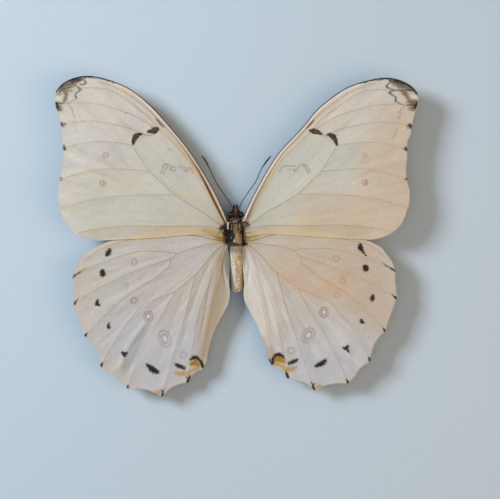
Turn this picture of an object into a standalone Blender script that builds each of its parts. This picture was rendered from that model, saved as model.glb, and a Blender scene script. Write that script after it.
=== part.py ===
"""A dried butterfly with its four wings spread, upper side up, on its feet and the tip of its abdomen.

Metres, +Z up, +Y towards the head, +X towards the butterfly's right wing. The origin is the middle of the
underside of the whole insect's box. Sizes below are in millimetres and are turned to metres by MM.

A wing is drawn once, as a left wing, in plan: (out, ahead), out from the line of the body and ahead of the
middle of the thorax. The right wing is its mirror image, pulled to where its own landmarks lie, because the
two sides of a real specimen differ a little.
"""

import math

import bmesh
import bpy
import numpy as np
from mathutils import Matrix, Vector
from mathutils.geometry import delaunay_2d_cdt, intersect_point_line

MM = 0.001

# ---- driving dimensions, in millimetres

TOUCHING_GAP = 0.3

MEMBRANE_THICKNESS = 0.24
VEIN_HEIGHT = 0.10
SAG_BETWEEN_VEINS = 0.25
SAG_REACH = 1.5

OUTLINE_STEP = 2.0
VEIN_STEP = 3.0
FILL_STEP = 3.3
FILL_MARGIN = 1.5
MERGE_DISTANCE = 0.05
ON_A_VEIN = 0.1

FOREWING_HINGE_Z = 7.2
FOREWING_RISE = 0.085
FOREWING_DROOP = 0.0006
FOREWING_ARCH = 0.0006
FOREWING_ARCH_LINE = 18.0

HINDWING_HINGE_Z = 6.0
HINDWING_RISE = 0.075
HINDWING_DROOP = 0.0005
HINDWING_ARCH = 0.0006
HINDWING_ARCH_LINE = -8.0

HINGE_OUT = 3.0

HEAD_CENTRE = (-0.13, 6.4, 5.5)
HEAD_RADII = (1.5, 1.25, 1.35)
EYE_RADII = (0.96, 1.05, 1.18)
EYE_CENTRES = {"left": (-1.82, 6.3, 5.6), "right": (1.56, 6.3, 5.6)}

ANTENNA_RADIUS = 0.13
ANTENNA_CLUB_RADIUS = 0.25
PALP_RADIUS = 0.3
PALP_TIP_RADIUS = 0.1
TONGUE_RADIUS = 0.13
TONGUE_COIL_RADIUS = 0.8
TONGUE_TURNS = 1.75
LEG_RADIUS = 0.3
FOOT_RADIUS = 0.16
FORELEG_RADIUS = 0.2

# Shares of a part's length: where the antenna's club starts, how far the tongue's coil closes in and how much
# its tube thins, and how fast a leg reaches its foot's thickness.
CLUB_START = 0.72
COIL_TIGHTENING = 0.78
TONGUE_THINNING = 0.4
LEG_THINNING = 1.6
PALP_THINNING_POWER = 1.5
GROOVE_POWER = 4

CLUB_SWELL = 2.4  # radians of a sine squared from the start of the club to its tip
TONGUE_START_DEGREES = 110.0

BODY_SIDES = 20
BALL_SEGMENTS = 18
BALL_RINGS = 11
TUBE_BEVEL_STEPS = 2
THORAX_STEP = 0.9
ABDOMEN_STEP = 0.75
ANTENNA_STEP = 1.2
PALP_STEP = 0.3
LEG_STEP = 0.9
STEPS_A_TONGUE_TURN = 14
ABDOMEN_RINGS = 8
ABDOMEN_GROOVE = 0.05

# ---- wings in plan: (out, ahead), millimetres

FOREWING_COSTA = [
    (3.0, 4.4), (4.7, 8.6), (8.3, 15.8), (14.7, 26.1), (21.1, 34.1), (27.5, 41.1), (33.9, 46.2),
    (40.3, 49.0), (46.7, 50.4), (51.5, 49.8), (55.2, 48.0), (57.3, 45.6),
]
FOREWING_OUTER_MARGIN = [
    (57.3, 45.6), (57.7, 42.6), (57.0, 39.4), (56.0, 36.0), (55.4, 31.7), (55.1, 28.2), (55.4, 22.1),
    (56.1, 17.2), (56.8, 13.4), (56.6, 9.8), (55.6, 6.6), (54.1, 3.2), (51.4, 0.3), (48.0, -1.3),
    (43.4, -2.1),
]
FOREWING_HIND_MARGIN = [
    (43.4, -2.1), (37.1, -1.8), (27.5, -1.3), (17.9, -0.5), (11.5, -0.2), (7.5, -0.6), (5.0, -0.8),
    (3.1, -0.2),
]
FOREWING_VEINS = {
    "costal": [
        (3.8, 4.5), (6.7, 10.1), (9.9, 16.8), (13.5, 22.5), (17.2, 28.0), (22.6, 34.4), (28.3, 39.8),
        (33.9, 44.2), (39.7, 47.3), (44.3, 48.8),
    ],
    "radial": [
        (6.2, 6.6), (9.4, 14.5), (14.2, 22.2), (20.4, 29.3), (25.6, 34.4), (28.3, 37.6), (32.9, 41.2),
        (37.1, 44.3), (42.0, 46.4), (49.9, 46.6), (56.4, 45.4),
    ],
    "first_median": [(26.2, 34.0), (30.8, 36.9), (37.1, 39.6), (43.5, 41.4), (49.9, 42.0), (57.2, 41.6)],
    "second_median": [(29.2, 31.6), (33.9, 33.7), (40.3, 35.2), (46.6, 36.1), (53.1, 35.5), (55.5, 34.9)],
    "third_median": [(33.4, 28.3), (37.1, 29.0), (43.5, 29.5), (49.9, 28.8), (54.8, 27.2)],
    "first_cubital": [(27.7, 20.0), (33.9, 20.6), (40.3, 20.8), (46.6, 20.1), (53.1, 18.4), (55.7, 17.4)],
    "second_cubital": [(19.6, 12.6), (27.5, 12.5), (37.1, 12.2), (43.5, 11.4), (49.9, 10.1), (55.7, 8.2)],
    "cell_rear": [
        (6.2, 3.7), (10.6, 6.9), (14.7, 9.4), (19.6, 12.6), (24.3, 16.9), (27.7, 20.0), (30.7, 24.3),
        (33.4, 28.3),
    ],
    "cell_end": [(26.2, 34.0), (29.2, 31.6), (33.4, 28.3)],
    "anal": [(5.4, 1.8), (11.5, 2.6), (24.3, 2.4), (33.9, 2.6), (43.5, 1.8), (50.4, 0.4)],
}

HINDWING_LEADING_EDGE = [
    (3.2, -1.8), (5.4, -1.5), (7.8, 0.0), (9.9, 1.0), (13.5, 1.9), (21.0, 2.2), (25.5, 1.8), (29.5, 0.8),
    (35.2, -1.0), (40.2, -2.2), (45.9, -4.8), (49.6, -8.1), (51.3, -11.2), (52.2, -13.8),
]
HINDWING_TIPS = [
    (52.2, -13.8), (51.8, -22.5), (48.4, -32.6), (43.3, -42.4), (34.6, -49.6), (23.8, -52.1), (15.4, -47.6),
    (10.9, -43.4),
]
HINDWING_SCALLOPS = [0.2, 0.1, 1.3, 0.45, 1.0, 1.1, 0.95]
HINDWING_INNER_MARGIN = [
    (10.9, -43.4), (9.6, -41.1), (9.1, -38.3), (8.0, -34.0), (6.2, -29.4), (3.9, -25.1), (2.5, -22.3),
    (2.0, -18.9), (2.3, -15.5), (2.1, -10.9), (2.1, -8.3), (2.7, -4.4),
]
HINDWING_VEINS = {
    "costal": [
        (5.6, -2.2), (11.5, -0.8), (20.0, -0.2), (29.5, -0.9), (37.1, -2.6), (43.5, -5.0), (48.6, -8.4),
    ],
    "stem": [(4.2, -2.9), (6.7, -3.0), (11.5, -3.9), (19.0, -6.2)],
    "radial": [
        (19.0, -6.2), (24.3, -5.6), (30.7, -5.5), (37.1, -7.1), (43.5, -9.4), (49.3, -11.9), (51.9, -13.6),
    ],
    "first_median": [
        (19.0, -6.2), (21.1, -8.0), (27.5, -10.0), (33.9, -12.5), (40.3, -15.4), (46.7, -18.8),
        (51.4, -22.1),
    ],
    "second_median": [
        (21.1, -8.0), (21.5, -10.2), (25.9, -14.1), (30.7, -17.1), (37.1, -21.4), (42.5, -26.4),
        (48.0, -32.1),
    ],
    "cell_rear": [(4.2, -3.6), (6.9, -5.6), (11.5, -11.4), (14.7, -14.4), (19.7, -18.6)],
    "third_median": [
        (19.7, -18.6), (26.3, -21.1), (30.7, -23.5), (35.5, -29.1), (39.8, -35.8), (43.0, -41.9),
    ],
    "first_cubital": [(19.7, -18.6), (24.2, -26.9), (29.1, -34.9), (32.0, -41.1), (34.4, -49.1)],
    "second_cubital": [
        (13.2, -13.2), (14.1, -17.3), (16.4, -26.4), (19.5, -36.5), (21.7, -44.3), (23.6, -51.6),
    ],
    "second_anal": [(4.6, -5.2), (8.4, -15.5), (11.5, -23.7), (13.5, -33.1), (14.9, -41.5), (15.3, -47.1)],
    "third_anal": [
        (3.6, -5.4), (4.4, -10.0), (5.6, -15.5), (7.4, -21.1), (9.6, -31.9), (10.9, -39.2), (11.0, -42.9),
    ],
}

# Where the left wing's landmarks lie on the right wing, as (out, ahead) pairs: (left), (right).
FOREWING_LANDMARKS = [
    ((3.0, 4.4), (2.2, 4.6)), ((3.1, -0.2), (2.3, -0.2)), ((11.9, 22.0), (11.0, 22.0)),
    ((21.8, 34.9), (22.1, 34.9)), ((33.9, 46.2), (33.8, 45.7)), ((47.2, 50.4), (47.6, 49.8)),
    ((57.3, 45.6), (57.9, 44.9)), ((57.6, 41.6), (57.7, 41.0)), ((55.5, 34.7), (55.8, 34.4)),
    ((55.1, 27.5), (54.5, 27.2)), ((56.0, 17.8), (54.5, 17.5)), ((56.8, 13.4), (55.3, 13.4)),
    ((55.9, 7.7), (54.6, 8.0)), ((50.9, 0.0), (49.8, 0.5)), ((43.4, -2.1), (42.6, -1.8)),
    ((27.5, -1.3), (26.9, -1.0)), ((9.0, -0.4), (7.9, -0.3)), ((33.4, 28.5), (32.3, 28.3)),
    ((26.2, 33.1), (25.3, 32.6)), ((20.2, 12.6), (20.2, 12.8)), ((42.6, 16.2), (41.4, 16.4)),
]
HINDWING_LANDMARKS = [
    ((3.2, -1.8), (2.7, -1.8)), ((2.7, -4.4), (2.3, -4.2)), ((21.0, 2.2), (20.0, 2.2)),
    ((35.2, -1.0), (34.4, -0.4)), ((45.9, -4.8), (45.7, -3.8)), ((49.6, -8.1), (48.8, -7.2)),
    ((52.2, -13.8), (51.0, -11.9)), ((51.8, -22.5), (51.3, -20.7)), ((48.4, -32.6), (47.7, -31.1)),
    ((43.3, -42.4), (42.9, -40.7)), ((34.6, -49.6), (35.8, -47.9)), ((23.8, -52.1), (25.2, -50.2)),
    ((15.4, -47.6), (16.4, -46.2)), ((10.9, -43.4), (11.5, -42.3)), ((9.5, -41.0), (10.3, -40.1)),
    ((7.1, -31.7), (7.5, -31.0)), ((3.9, -25.1), (4.6, -25.2)), ((2.0, -18.9), (2.4, -18.9)),
    ((2.1, -10.9), (2.3, -10.9)), ((19.5, -6.2), (18.9, -5.1)), ((20.2, -18.9), (20.3, -17.8)),
    ((32.8, -21.0), (32.3, -19.7)), ((22.7, -33.4), (23.2, -32.3)), ((35.5, -38.1), (35.5, -36.5)),
    ((44.5, -22.1), (43.5, -20.5)),
]
LANDMARK_SOFTNESS = 2.0

# ---- body: where the middle line of its legs lies in X, then its stations, one row each: along Y, middle in X
# and Z, half width, half height

BODY_OFFSET = -0.5
THORAX_STATIONS = [
    (-3.8, -0.3, 4.9, 1.0, 1.1), (-3.4, -0.35, 4.9, 1.95, 2.2), (-2.2, -0.45, 4.95, 2.42, 3.1),
    (0.2, -0.5, 5.0, 2.55, 3.6), (2.4, -0.45, 5.1, 2.35, 3.25), (3.7, -0.4, 5.25, 1.85, 2.5),
    (4.6, -0.35, 5.3, 1.25, 1.7), (4.9, -0.35, 5.3, 0.6, 0.8),
]
ABDOMEN_STATIONS = [
    (-4.15, 0.0, 4.9, 0.9, 1.0), (-4.6, 0.1, 4.85, 1.9, 1.95), (-7.0, 0.2, 4.7, 2.16, 2.2),
    (-10.0, 0.3, 4.25, 2.15, 2.15), (-13.0, 0.38, 3.45, 2.0, 1.95), (-16.0, 0.42, 2.4, 1.85, 1.75),
    (-17.9, 0.4, 1.62, 1.7, 1.6), (-18.5, 0.38, 1.5, 1.2, 1.1), (-18.65, 0.38, 1.5, 0.5, 0.5),
]

# ---- thin parts, as points (x, y, z) along them

ANTENNAE = {
    "left": [
        (-0.7, 7.2, 7.05), (-1.2, 8.6, 7.25), (-2.45, 10.7, 7.45), (-4.05, 13.0, 7.6), (-6.0, 15.9, 7.75),
        (-7.4, 18.7, 7.95), (-8.9, 21.7, 8.1), (-9.9, 23.7, 8.2), (-11.0, 25.0, 8.3),
    ],
    "right": [
        (0.45, 7.2, 7.05), (0.95, 8.3, 7.2), (1.65, 9.8, 7.4), (2.9, 11.9, 7.5), (4.65, 14.4, 7.65),
        (6.25, 16.7, 7.8), (7.5, 19.4, 7.95), (8.55, 21.5, 8.1), (9.8, 23.3, 8.2), (11.2, 25.0, 8.3),
    ],
}
PALPS = {
    "left": [(-0.64, 8.15, 5.0), (-0.66, 8.7, 5.5), (-0.58, 9.4, 6.1)],
    "right": [(0.3, 8.15, 5.0), (0.32, 8.7, 5.5), (0.22, 9.4, 6.1)],
}
TONGUE_CENTRE = (-0.17, 7.75, 3.35)
FORELEG = [(1.0, 3.0, 1.85), (1.9, 4.3, 1.9), (1.7, 5.4, 2.6), (1.3, 6.3, 2.9)]
MIDLEG = [(1.6, 0.9, 1.2), (5.0, 2.2, 3.5), (7.3, 3.6, 1.0), (8.1, 4.8, 0.16), (9.0, 6.6, 0.16)]
HINDLEG = [(1.5, -1.5, 1.25), (5.2, -4.0, 3.5), (7.5, -7.4, 1.0), (8.1, -8.9, 0.16), (8.8, -11.4, 0.16)]

SIDES = {"left": -1.0, "right": 1.0}

# ---- plain finishes: name, colour (linear), roughness

FINISHES = {
    "wing": ((0.72, 0.67, 0.57), 0.75),
    "thorax_fur": ((0.08, 0.05, 0.03), 0.9),
    "abdomen_scales": ((0.66, 0.56, 0.43), 0.85),
    "head_hair": ((0.10, 0.05, 0.02), 0.85),
    "eye": ((0.012, 0.009, 0.008), 0.2),
    "dark_chitin": ((0.02, 0.014, 0.01), 0.45),
    "leg_chitin": ((0.10, 0.06, 0.035), 0.55),
}


def clear_scene():
    for old in list(bpy.data.objects):
        bpy.data.objects.remove(old)


def finish(name, part):
    """A material of this part's own, in one of the plain finishes."""
    colour, roughness = FINISHES[name]
    material = bpy.data.materials.new(f"{part}_{name}")
    material.use_nodes = True
    shader = material.node_tree.nodes["Principled BSDF"]
    shader.inputs["Base Color"].default_value = (*colour, 1.0)
    shader.inputs["Roughness"].default_value = roughness
    shader.inputs["Metallic"].default_value = 0.0
    return material


def add_object(name, data, finish_name, parent):
    part = bpy.data.objects.new(name, data)
    part.data.materials.append(finish(finish_name, name))
    part.parent = parent
    bpy.context.scene.collection.objects.link(part)
    return part


def add_mesh(name, shape, finish_name, parent, smooth=True):
    """An object from a bmesh, with its faces pointing out."""
    bmesh.ops.recalc_face_normals(shape, faces=shape.faces)
    mesh = bpy.data.meshes.new(name)
    shape.to_mesh(mesh)
    shape.free()
    if smooth:
        mesh.shade_smooth()
    return add_object(name, mesh, finish_name, parent)


def smooth_line(points, step):
    """Points about a step apart on one smooth curve (Catmull-Rom) through the given points."""
    given = [np.array(point, float) for point in points]
    line = []
    ends = [2 * given[0] - given[1], *given, 2 * given[-1] - given[-2]]
    for before, start, stop, after in zip(ends, ends[1:], ends[2:], ends[3:]):
        count = max(1, round(float(np.linalg.norm(stop - start)) / step))
        for i in range(count):
            t = i / count
            swing = (stop - before) * t + (2 * before - 5 * start + 4 * stop - after) * t**2
            line.append(start + 0.5 * (swing + (3 * start - before - 3 * stop + after) * t**3))
    return [*line, given[-1]]


def scalloped_line(tips, depths, step):
    """From tip to tip along shallow arcs that curve in by the depths. The wing lies clockwise of the line."""
    corners = np.array(tips, float)
    line = []
    for start, stop, depth in zip(corners, corners[1:], depths):
        run = stop - start
        length = float(np.linalg.norm(run))
        inward = np.array([run[1], -run[0]]) / length
        count = max(2, round(length / step))
        for i in range(count):
            t = i / count
            line.append(start + run * t + inward * depth * 4 * t * (1 - t))
    return [*line, corners[-1]]


def forewing_outline():
    return [
        *smooth_line(FOREWING_COSTA, OUTLINE_STEP)[:-1],
        *smooth_line(FOREWING_OUTER_MARGIN, OUTLINE_STEP)[:-1],
        *smooth_line(FOREWING_HIND_MARGIN, OUTLINE_STEP),
    ]


def hindwing_outline():
    return [
        *smooth_line(HINDWING_LEADING_EDGE, OUTLINE_STEP)[:-1],
        *scalloped_line(HINDWING_TIPS, HINDWING_SCALLOPS, OUTLINE_STEP)[:-1],
        *smooth_line(HINDWING_INNER_MARGIN, OUTLINE_STEP),
    ]


def forewing_height(out, ahead):
    """Middle of the forewing's membrane: it rises from the hinge, levels off outwards and arches a little."""
    span = out - HINGE_OUT
    arch = FOREWING_ARCH * (ahead - FOREWING_ARCH_LINE) ** 2
    return FOREWING_HINGE_Z + FOREWING_RISE * span - FOREWING_DROOP * span**2 - arch


def hindwing_height(out, ahead):
    """Middle of the hindwing's membrane, which passes under the forewing."""
    span = out - HINGE_OUT
    arch = HINDWING_ARCH * (ahead - HINDWING_ARCH_LINE) ** 2
    return HINDWING_HINGE_Z + HINDWING_RISE * span - HINDWING_DROOP * span**2 - arch


def distance_to_lines(point, lines):
    """Distance in plan from a point to the nearest of the lines."""
    nearest = math.inf
    place = Vector((*point, 0.0))
    for line in lines:
        for start, stop in zip(line, line[1:]):
            a, b = Vector((*start, 0.0)), Vector((*stop, 0.0))
            foot, part = intersect_point_line(place, a, b)
            foot = a if part < 0 else b if part > 1 else foot
            nearest = min(nearest, (place - foot).length)
    return nearest


def inside(point, outline):
    """Whether a point in plan lies inside the closed outline."""
    x, y = point
    crossings = 0
    for (x0, y0), (x1, y1) in zip(outline, [*outline[1:], outline[0]]):
        if (y0 > y) != (y1 > y) and x < x0 + (x1 - x0) * (y - y0) / (y1 - y0):
            crossings += 1
    return crossings % 2 == 1


def fill_points(outline, veins):
    """Points on a staggered grid inside the wing, clear of its edge and veins."""
    corners = np.array(outline)
    low, high = corners.min(axis=0), corners.max(axis=0)
    lines = [[*outline, outline[0]], *veins]
    found = []
    row_height = FILL_STEP * math.sin(math.radians(60))
    for row in range(int((high[1] - low[1]) / row_height) + 1):
        for column in range(int((high[0] - low[0]) / FILL_STEP) + 1):
            shift = FILL_STEP / 2 if row % 2 else 0.0
            point = (low[0] + column * FILL_STEP + shift, low[1] + row * row_height)
            if inside(point, outline) and distance_to_lines(point, lines) > FILL_MARGIN:
                found.append(np.array(point))
    return found


def wing_plan(outline, veins):
    """The wing in plan, as points and triangles that keep the outline and the veins as edges."""
    points = list(outline)
    edges = [(i, (i + 1) % len(outline)) for i in range(len(outline))]
    for vein in veins:
        first = len(points)
        points.extend(vein)
        edges.extend((first + i, first + i + 1) for i in range(len(vein) - 1))
    points.extend(fill_points(outline, veins))
    corners = [Vector(point) for point in points]
    flat, _, faces, *_ = delaunay_2d_cdt(corners, edges, [], 0, MERGE_DISTANCE)
    middle = [sum((flat[i] for i in face), Vector((0.0, 0.0))) / 3 for face in faces]
    return flat, [face for face, centre in zip(faces, middle) if inside(centre, outline)]


def moved_to_landmarks(point, landmarks):
    """Where a point of the left wing lies on the right one, carried by the landmarks near it."""
    place = np.array(point, float)
    left = np.array([pair[0] for pair in landmarks], float)
    shift = np.array([pair[1] for pair in landmarks], float) - left
    weight = (((left - place) ** 2).sum(axis=1) + LANDMARK_SOFTNESS) ** -1.5
    return place + weight @ shift / weight.sum()


def add_wing(name, side, outline, veins, height, landmarks, parent):
    """A thin closed wing: membrane, sagging a little between raised veins, with a wall round its edge."""
    flat, faces = wing_plan(outline, veins)
    shape = bmesh.new()
    upper, lower = [], []
    for point in flat:
        from_vein = distance_to_lines(point, veins)
        ridge = VEIN_HEIGHT if from_vein < ON_A_VEIN else 0.0
        sag = SAG_BETWEEN_VEINS * (1 - math.exp(-from_vein / SAG_REACH))
        middle = height(*point) - sag
        above = middle + MEMBRANE_THICKNESS / 2 + ridge
        below = middle - MEMBRANE_THICKNESS / 2 - ridge / 2
        out, ahead = point if side == "left" else moved_to_landmarks(point, landmarks)
        for verts, z in ((upper, above), (lower, below)):
            verts.append(shape.verts.new((SIDES[side] * out * MM, ahead * MM, z * MM)))
    for face in faces:
        shape.faces.new([upper[i] for i in face])
        shape.faces.new([lower[i] for i in reversed(face)])
    rim = [edge for edge in shape.edges if edge.is_boundary and edge.verts[0] in set(upper)]
    under = dict(zip(upper, lower))
    for edge in rim:
        a, b = edge.verts
        shape.faces.new((a, b, under[b], under[a]))
    for stray in [vert for vert in shape.verts if not vert.link_faces]:
        shape.verts.remove(stray)
    return add_mesh(name, shape, "wing", parent, smooth=False)


def add_wings(parent):
    """Both pairs of wings. The forewings lie over the front edges of the hindwings."""
    wings = (
        ("forewing", forewing_outline(), FOREWING_VEINS, forewing_height, FOREWING_LANDMARKS),
        ("hindwing", hindwing_outline(), HINDWING_VEINS, hindwing_height, HINDWING_LANDMARKS),
    )
    for name, outline, pattern, height, landmarks in wings:
        veins = [smooth_line(vein, VEIN_STEP) for vein in pattern.values()]
        for side in SIDES:
            add_wing(f"{name}_{side}", side, outline, veins, height, landmarks, parent)


def add_loft(name, stations, finish_name, parent):
    """A closed body through elliptical rings that stand across Y, one a station."""
    shape = bmesh.new()
    rings = []
    for i, (y, x, z, half_width, half_height) in enumerate(stations):
        stand = Matrix.Rotation(math.radians(90), 4, "X")
        size = Matrix.Diagonal((half_width * MM, 1.0, half_height * MM, 1.0))
        place = Matrix.Translation((x * MM, y * MM, z * MM)) @ size @ stand
        end = i in (0, len(stations) - 1)
        made = bmesh.ops.create_circle(shape, cap_ends=end, segments=BODY_SIDES, radius=1.0, matrix=place)
        ring = set(made["verts"])
        rings.append([edge for edge in shape.edges if set(edge.verts) <= ring])
    for ring, following in zip(rings, rings[1:]):
        bmesh.ops.bridge_loops(shape, edges=ring + following)
    return add_mesh(name, shape, finish_name, parent)


def add_thorax(parent):
    stations = smooth_line(THORAX_STATIONS, THORAX_STEP)
    add_loft("thorax", stations, "thorax_fur", parent)


def add_abdomen(parent):
    """The abdomen, with a shallow groove between its rings."""
    stations = smooth_line(ABDOMEN_STATIONS, ABDOMEN_STEP)
    front, back = stations[0][0], stations[-1][0]
    grooved = []
    for station in stations:
        along = (station[0] - front) / (back - front) * ABDOMEN_RINGS
        narrowing = 1 - ABDOMEN_GROOVE * (along % 1.0) ** GROOVE_POWER
        grooved.append((*station[:3], station[3] * narrowing, station[4] * narrowing))
    add_loft("abdomen", grooved, "abdomen_scales", parent)


def ball(centre, radii, extra=0.0):
    shape = bmesh.new()
    size = Matrix.Diagonal([(radius + extra) * MM for radius in radii] + [1.0])
    place = Matrix.Translation([value * MM for value in centre]) @ size
    bmesh.ops.create_uvsphere(
        shape, u_segments=BALL_SEGMENTS, v_segments=BALL_RINGS, radius=1.0, matrix=place
    )
    return shape


def add_head(parent):
    """The head, hollowed on both sides where the eyes sit."""
    head = add_mesh("head", ball(HEAD_CENTRE, HEAD_RADII), "head_hair", parent)
    for side, centre in EYE_CENTRES.items():
        cutter = add_mesh(f"eye_socket_{side}", ball(centre, EYE_RADII, TOUCHING_GAP), "head_hair", parent)
        cutter.hide_render = True
        cutter.display_type = "WIRE"
        socket = head.modifiers.new(f"socket_{side}", "BOOLEAN")
        socket.operation = "DIFFERENCE"
        socket.object = cutter
        add_mesh(f"eye_{side}", ball(centre, EYE_RADII), "eye", parent)


def add_tube(name, points, radii, finish_name, parent):
    """A solid tube along the points, in millimetres, with its own radius at each of them."""
    curve = bpy.data.curves.new(name, "CURVE")
    curve.dimensions = "3D"
    curve.bevel_depth = MM
    curve.bevel_resolution = TUBE_BEVEL_STEPS
    curve.use_fill_caps = True
    spline = curve.splines.new("POLY")
    spline.points.add(len(points) - 1)
    for knot, point, radius in zip(spline.points, points, radii):
        knot.co = (*(value * MM for value in point), 1.0)
        knot.radius = radius
    spline.use_smooth = True
    add_object(name, curve, finish_name, parent)


def add_antennae(parent):
    """Thin feelers that thicken slowly to a slight club."""
    for side, route in ANTENNAE.items():
        points = smooth_line(route, ANTENNA_STEP)
        radii = []
        for i in range(len(points)):
            along = i / (len(points) - 1)
            club = max(0.0, (along - CLUB_START) / (1 - CLUB_START))
            swell = math.sin(club * CLUB_SWELL) ** 2
            radii.append(ANTENNA_RADIUS + (ANTENNA_CLUB_RADIUS - ANTENNA_RADIUS) * swell)
        radii[-1] = ANTENNA_RADIUS
        add_tube(f"antenna_{side}", points, radii, "dark_chitin", parent)


def add_palps(parent):
    for side, route in PALPS.items():
        points = smooth_line(route, PALP_STEP)
        shares = np.linspace(0.0, 1.0, len(points)) ** PALP_THINNING_POWER
        radii = PALP_RADIUS + (PALP_TIP_RADIUS - PALP_RADIUS) * shares
        add_tube(f"palp_{side}", points, radii, "head_hair", parent)


def add_tongue(parent):
    """The proboscis, rolled up in an upright spiral under the head."""
    x, y, z = TONGUE_CENTRE
    shares = np.linspace(0.0, 1.0, int(TONGUE_TURNS * STEPS_A_TONGUE_TURN) + 1)
    points = []
    for share in shares:
        radius = TONGUE_COIL_RADIUS * (1 - COIL_TIGHTENING * share)
        angle = math.radians(TONGUE_START_DEGREES) - share * TONGUE_TURNS * math.tau
        points.append((x, y + radius * math.cos(angle), z + radius * math.sin(angle)))
    radii = TONGUE_RADIUS * (1 - TONGUE_THINNING * shares)
    add_tube("proboscis", points, radii, "dark_chitin", parent)


def add_legs(parent):
    """Short folded forelegs, and middle and hind legs that carry the insect on their feet."""
    pairs = (
        ("foreleg", FORELEG, FORELEG_RADIUS, FORELEG_RADIUS / 2),
        ("midleg", MIDLEG, LEG_RADIUS, FOOT_RADIUS),
        ("hindleg", HINDLEG, LEG_RADIUS, FOOT_RADIUS),
    )
    for name, route, thick, thin in pairs:
        for side, sign in SIDES.items():
            points = [(sign * x + BODY_OFFSET, y, z) for x, y, z in smooth_line(route, LEG_STEP)]
            shares = np.linspace(0.0, LEG_THINNING, len(points))
            radii = thick + (thin - thick) * np.minimum(1.0, shares)
            add_tube(f"{name}_{side}", points, radii, "leg_chitin", parent)


def stand_on_origin(parent):
    """Moves the whole insect so that the middle of its box's underside is the origin."""
    graph = bpy.context.evaluated_depsgraph_get()
    corners = []
    for part in bpy.context.scene.objects:
        if part.type in ("MESH", "CURVE") and not part.hide_render:
            mesh = part.evaluated_get(graph).to_mesh()
            corners.extend(part.matrix_world @ vert.co for vert in mesh.vertices)
    spread = np.array(corners)
    low, high = spread.min(axis=0), spread.max(axis=0)
    parent.location = (-(low[0] + high[0]) / 2, -(low[1] + high[1]) / 2, -low[2])


def build():
    clear_scene()
    insect = bpy.data.objects.new("insect", None)
    bpy.context.scene.collection.objects.link(insect)
    add_wings(insect)
    add_thorax(insect)
    add_abdomen(insect)
    add_head(insect)
    add_antennae(insect)
    add_palps(insect)
    add_tongue(insect)
    add_legs(insect)
    bpy.context.view_layer.update()
    stand_on_origin(insect)


build()
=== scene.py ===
"""The looks of a dried butterfly with its wings spread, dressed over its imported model.

Lengths are in millimetres unless a name says otherwise, and MM turns them to metres. Places are (x, y, z) in
the part's own frame before it was centred: x towards the right wing, y towards the head, from the middle of
the thorax. A wing is drawn once, as a left wing, in plan: (out, ahead). The right wing mirrors it and is
pulled to where its own landmarks lie. Outlines, veins, landmarks and body stations repeat those of the part's
source.
"""

import math
from dataclasses import dataclass

import bpy
import numpy as np
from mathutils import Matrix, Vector


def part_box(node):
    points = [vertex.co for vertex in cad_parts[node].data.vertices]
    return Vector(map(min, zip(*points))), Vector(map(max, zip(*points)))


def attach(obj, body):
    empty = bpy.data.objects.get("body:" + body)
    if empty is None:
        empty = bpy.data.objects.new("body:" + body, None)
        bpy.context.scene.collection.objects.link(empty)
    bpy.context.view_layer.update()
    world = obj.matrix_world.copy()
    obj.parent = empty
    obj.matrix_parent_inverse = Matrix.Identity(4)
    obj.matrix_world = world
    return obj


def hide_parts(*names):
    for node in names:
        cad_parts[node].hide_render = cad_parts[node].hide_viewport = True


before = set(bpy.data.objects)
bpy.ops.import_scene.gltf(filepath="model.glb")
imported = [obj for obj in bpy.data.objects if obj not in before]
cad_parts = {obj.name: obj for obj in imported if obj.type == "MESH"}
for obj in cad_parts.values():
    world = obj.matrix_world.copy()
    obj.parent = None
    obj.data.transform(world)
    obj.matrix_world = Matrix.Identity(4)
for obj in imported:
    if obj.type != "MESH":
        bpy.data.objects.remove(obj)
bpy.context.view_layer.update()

MM = 0.001
UP = np.array([0.0, 0.0, 1.0])
SIDES = {"left": -1.0, "right": 1.0}

# ---- where the part's own frame lies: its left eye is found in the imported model

EYE_CENTRES = {"left": (-1.82, 6.3, 5.6), "right": (1.56, 6.3, 5.6)}
EYE_RADII = (0.96, 1.05, 1.18)
eye_low, eye_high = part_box("eye_left")
ORIGIN = (np.array(eye_low) + np.array(eye_high)) / 2 / MM - EYE_CENTRES["left"]

# ---- wings in plan, (out, ahead)

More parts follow.
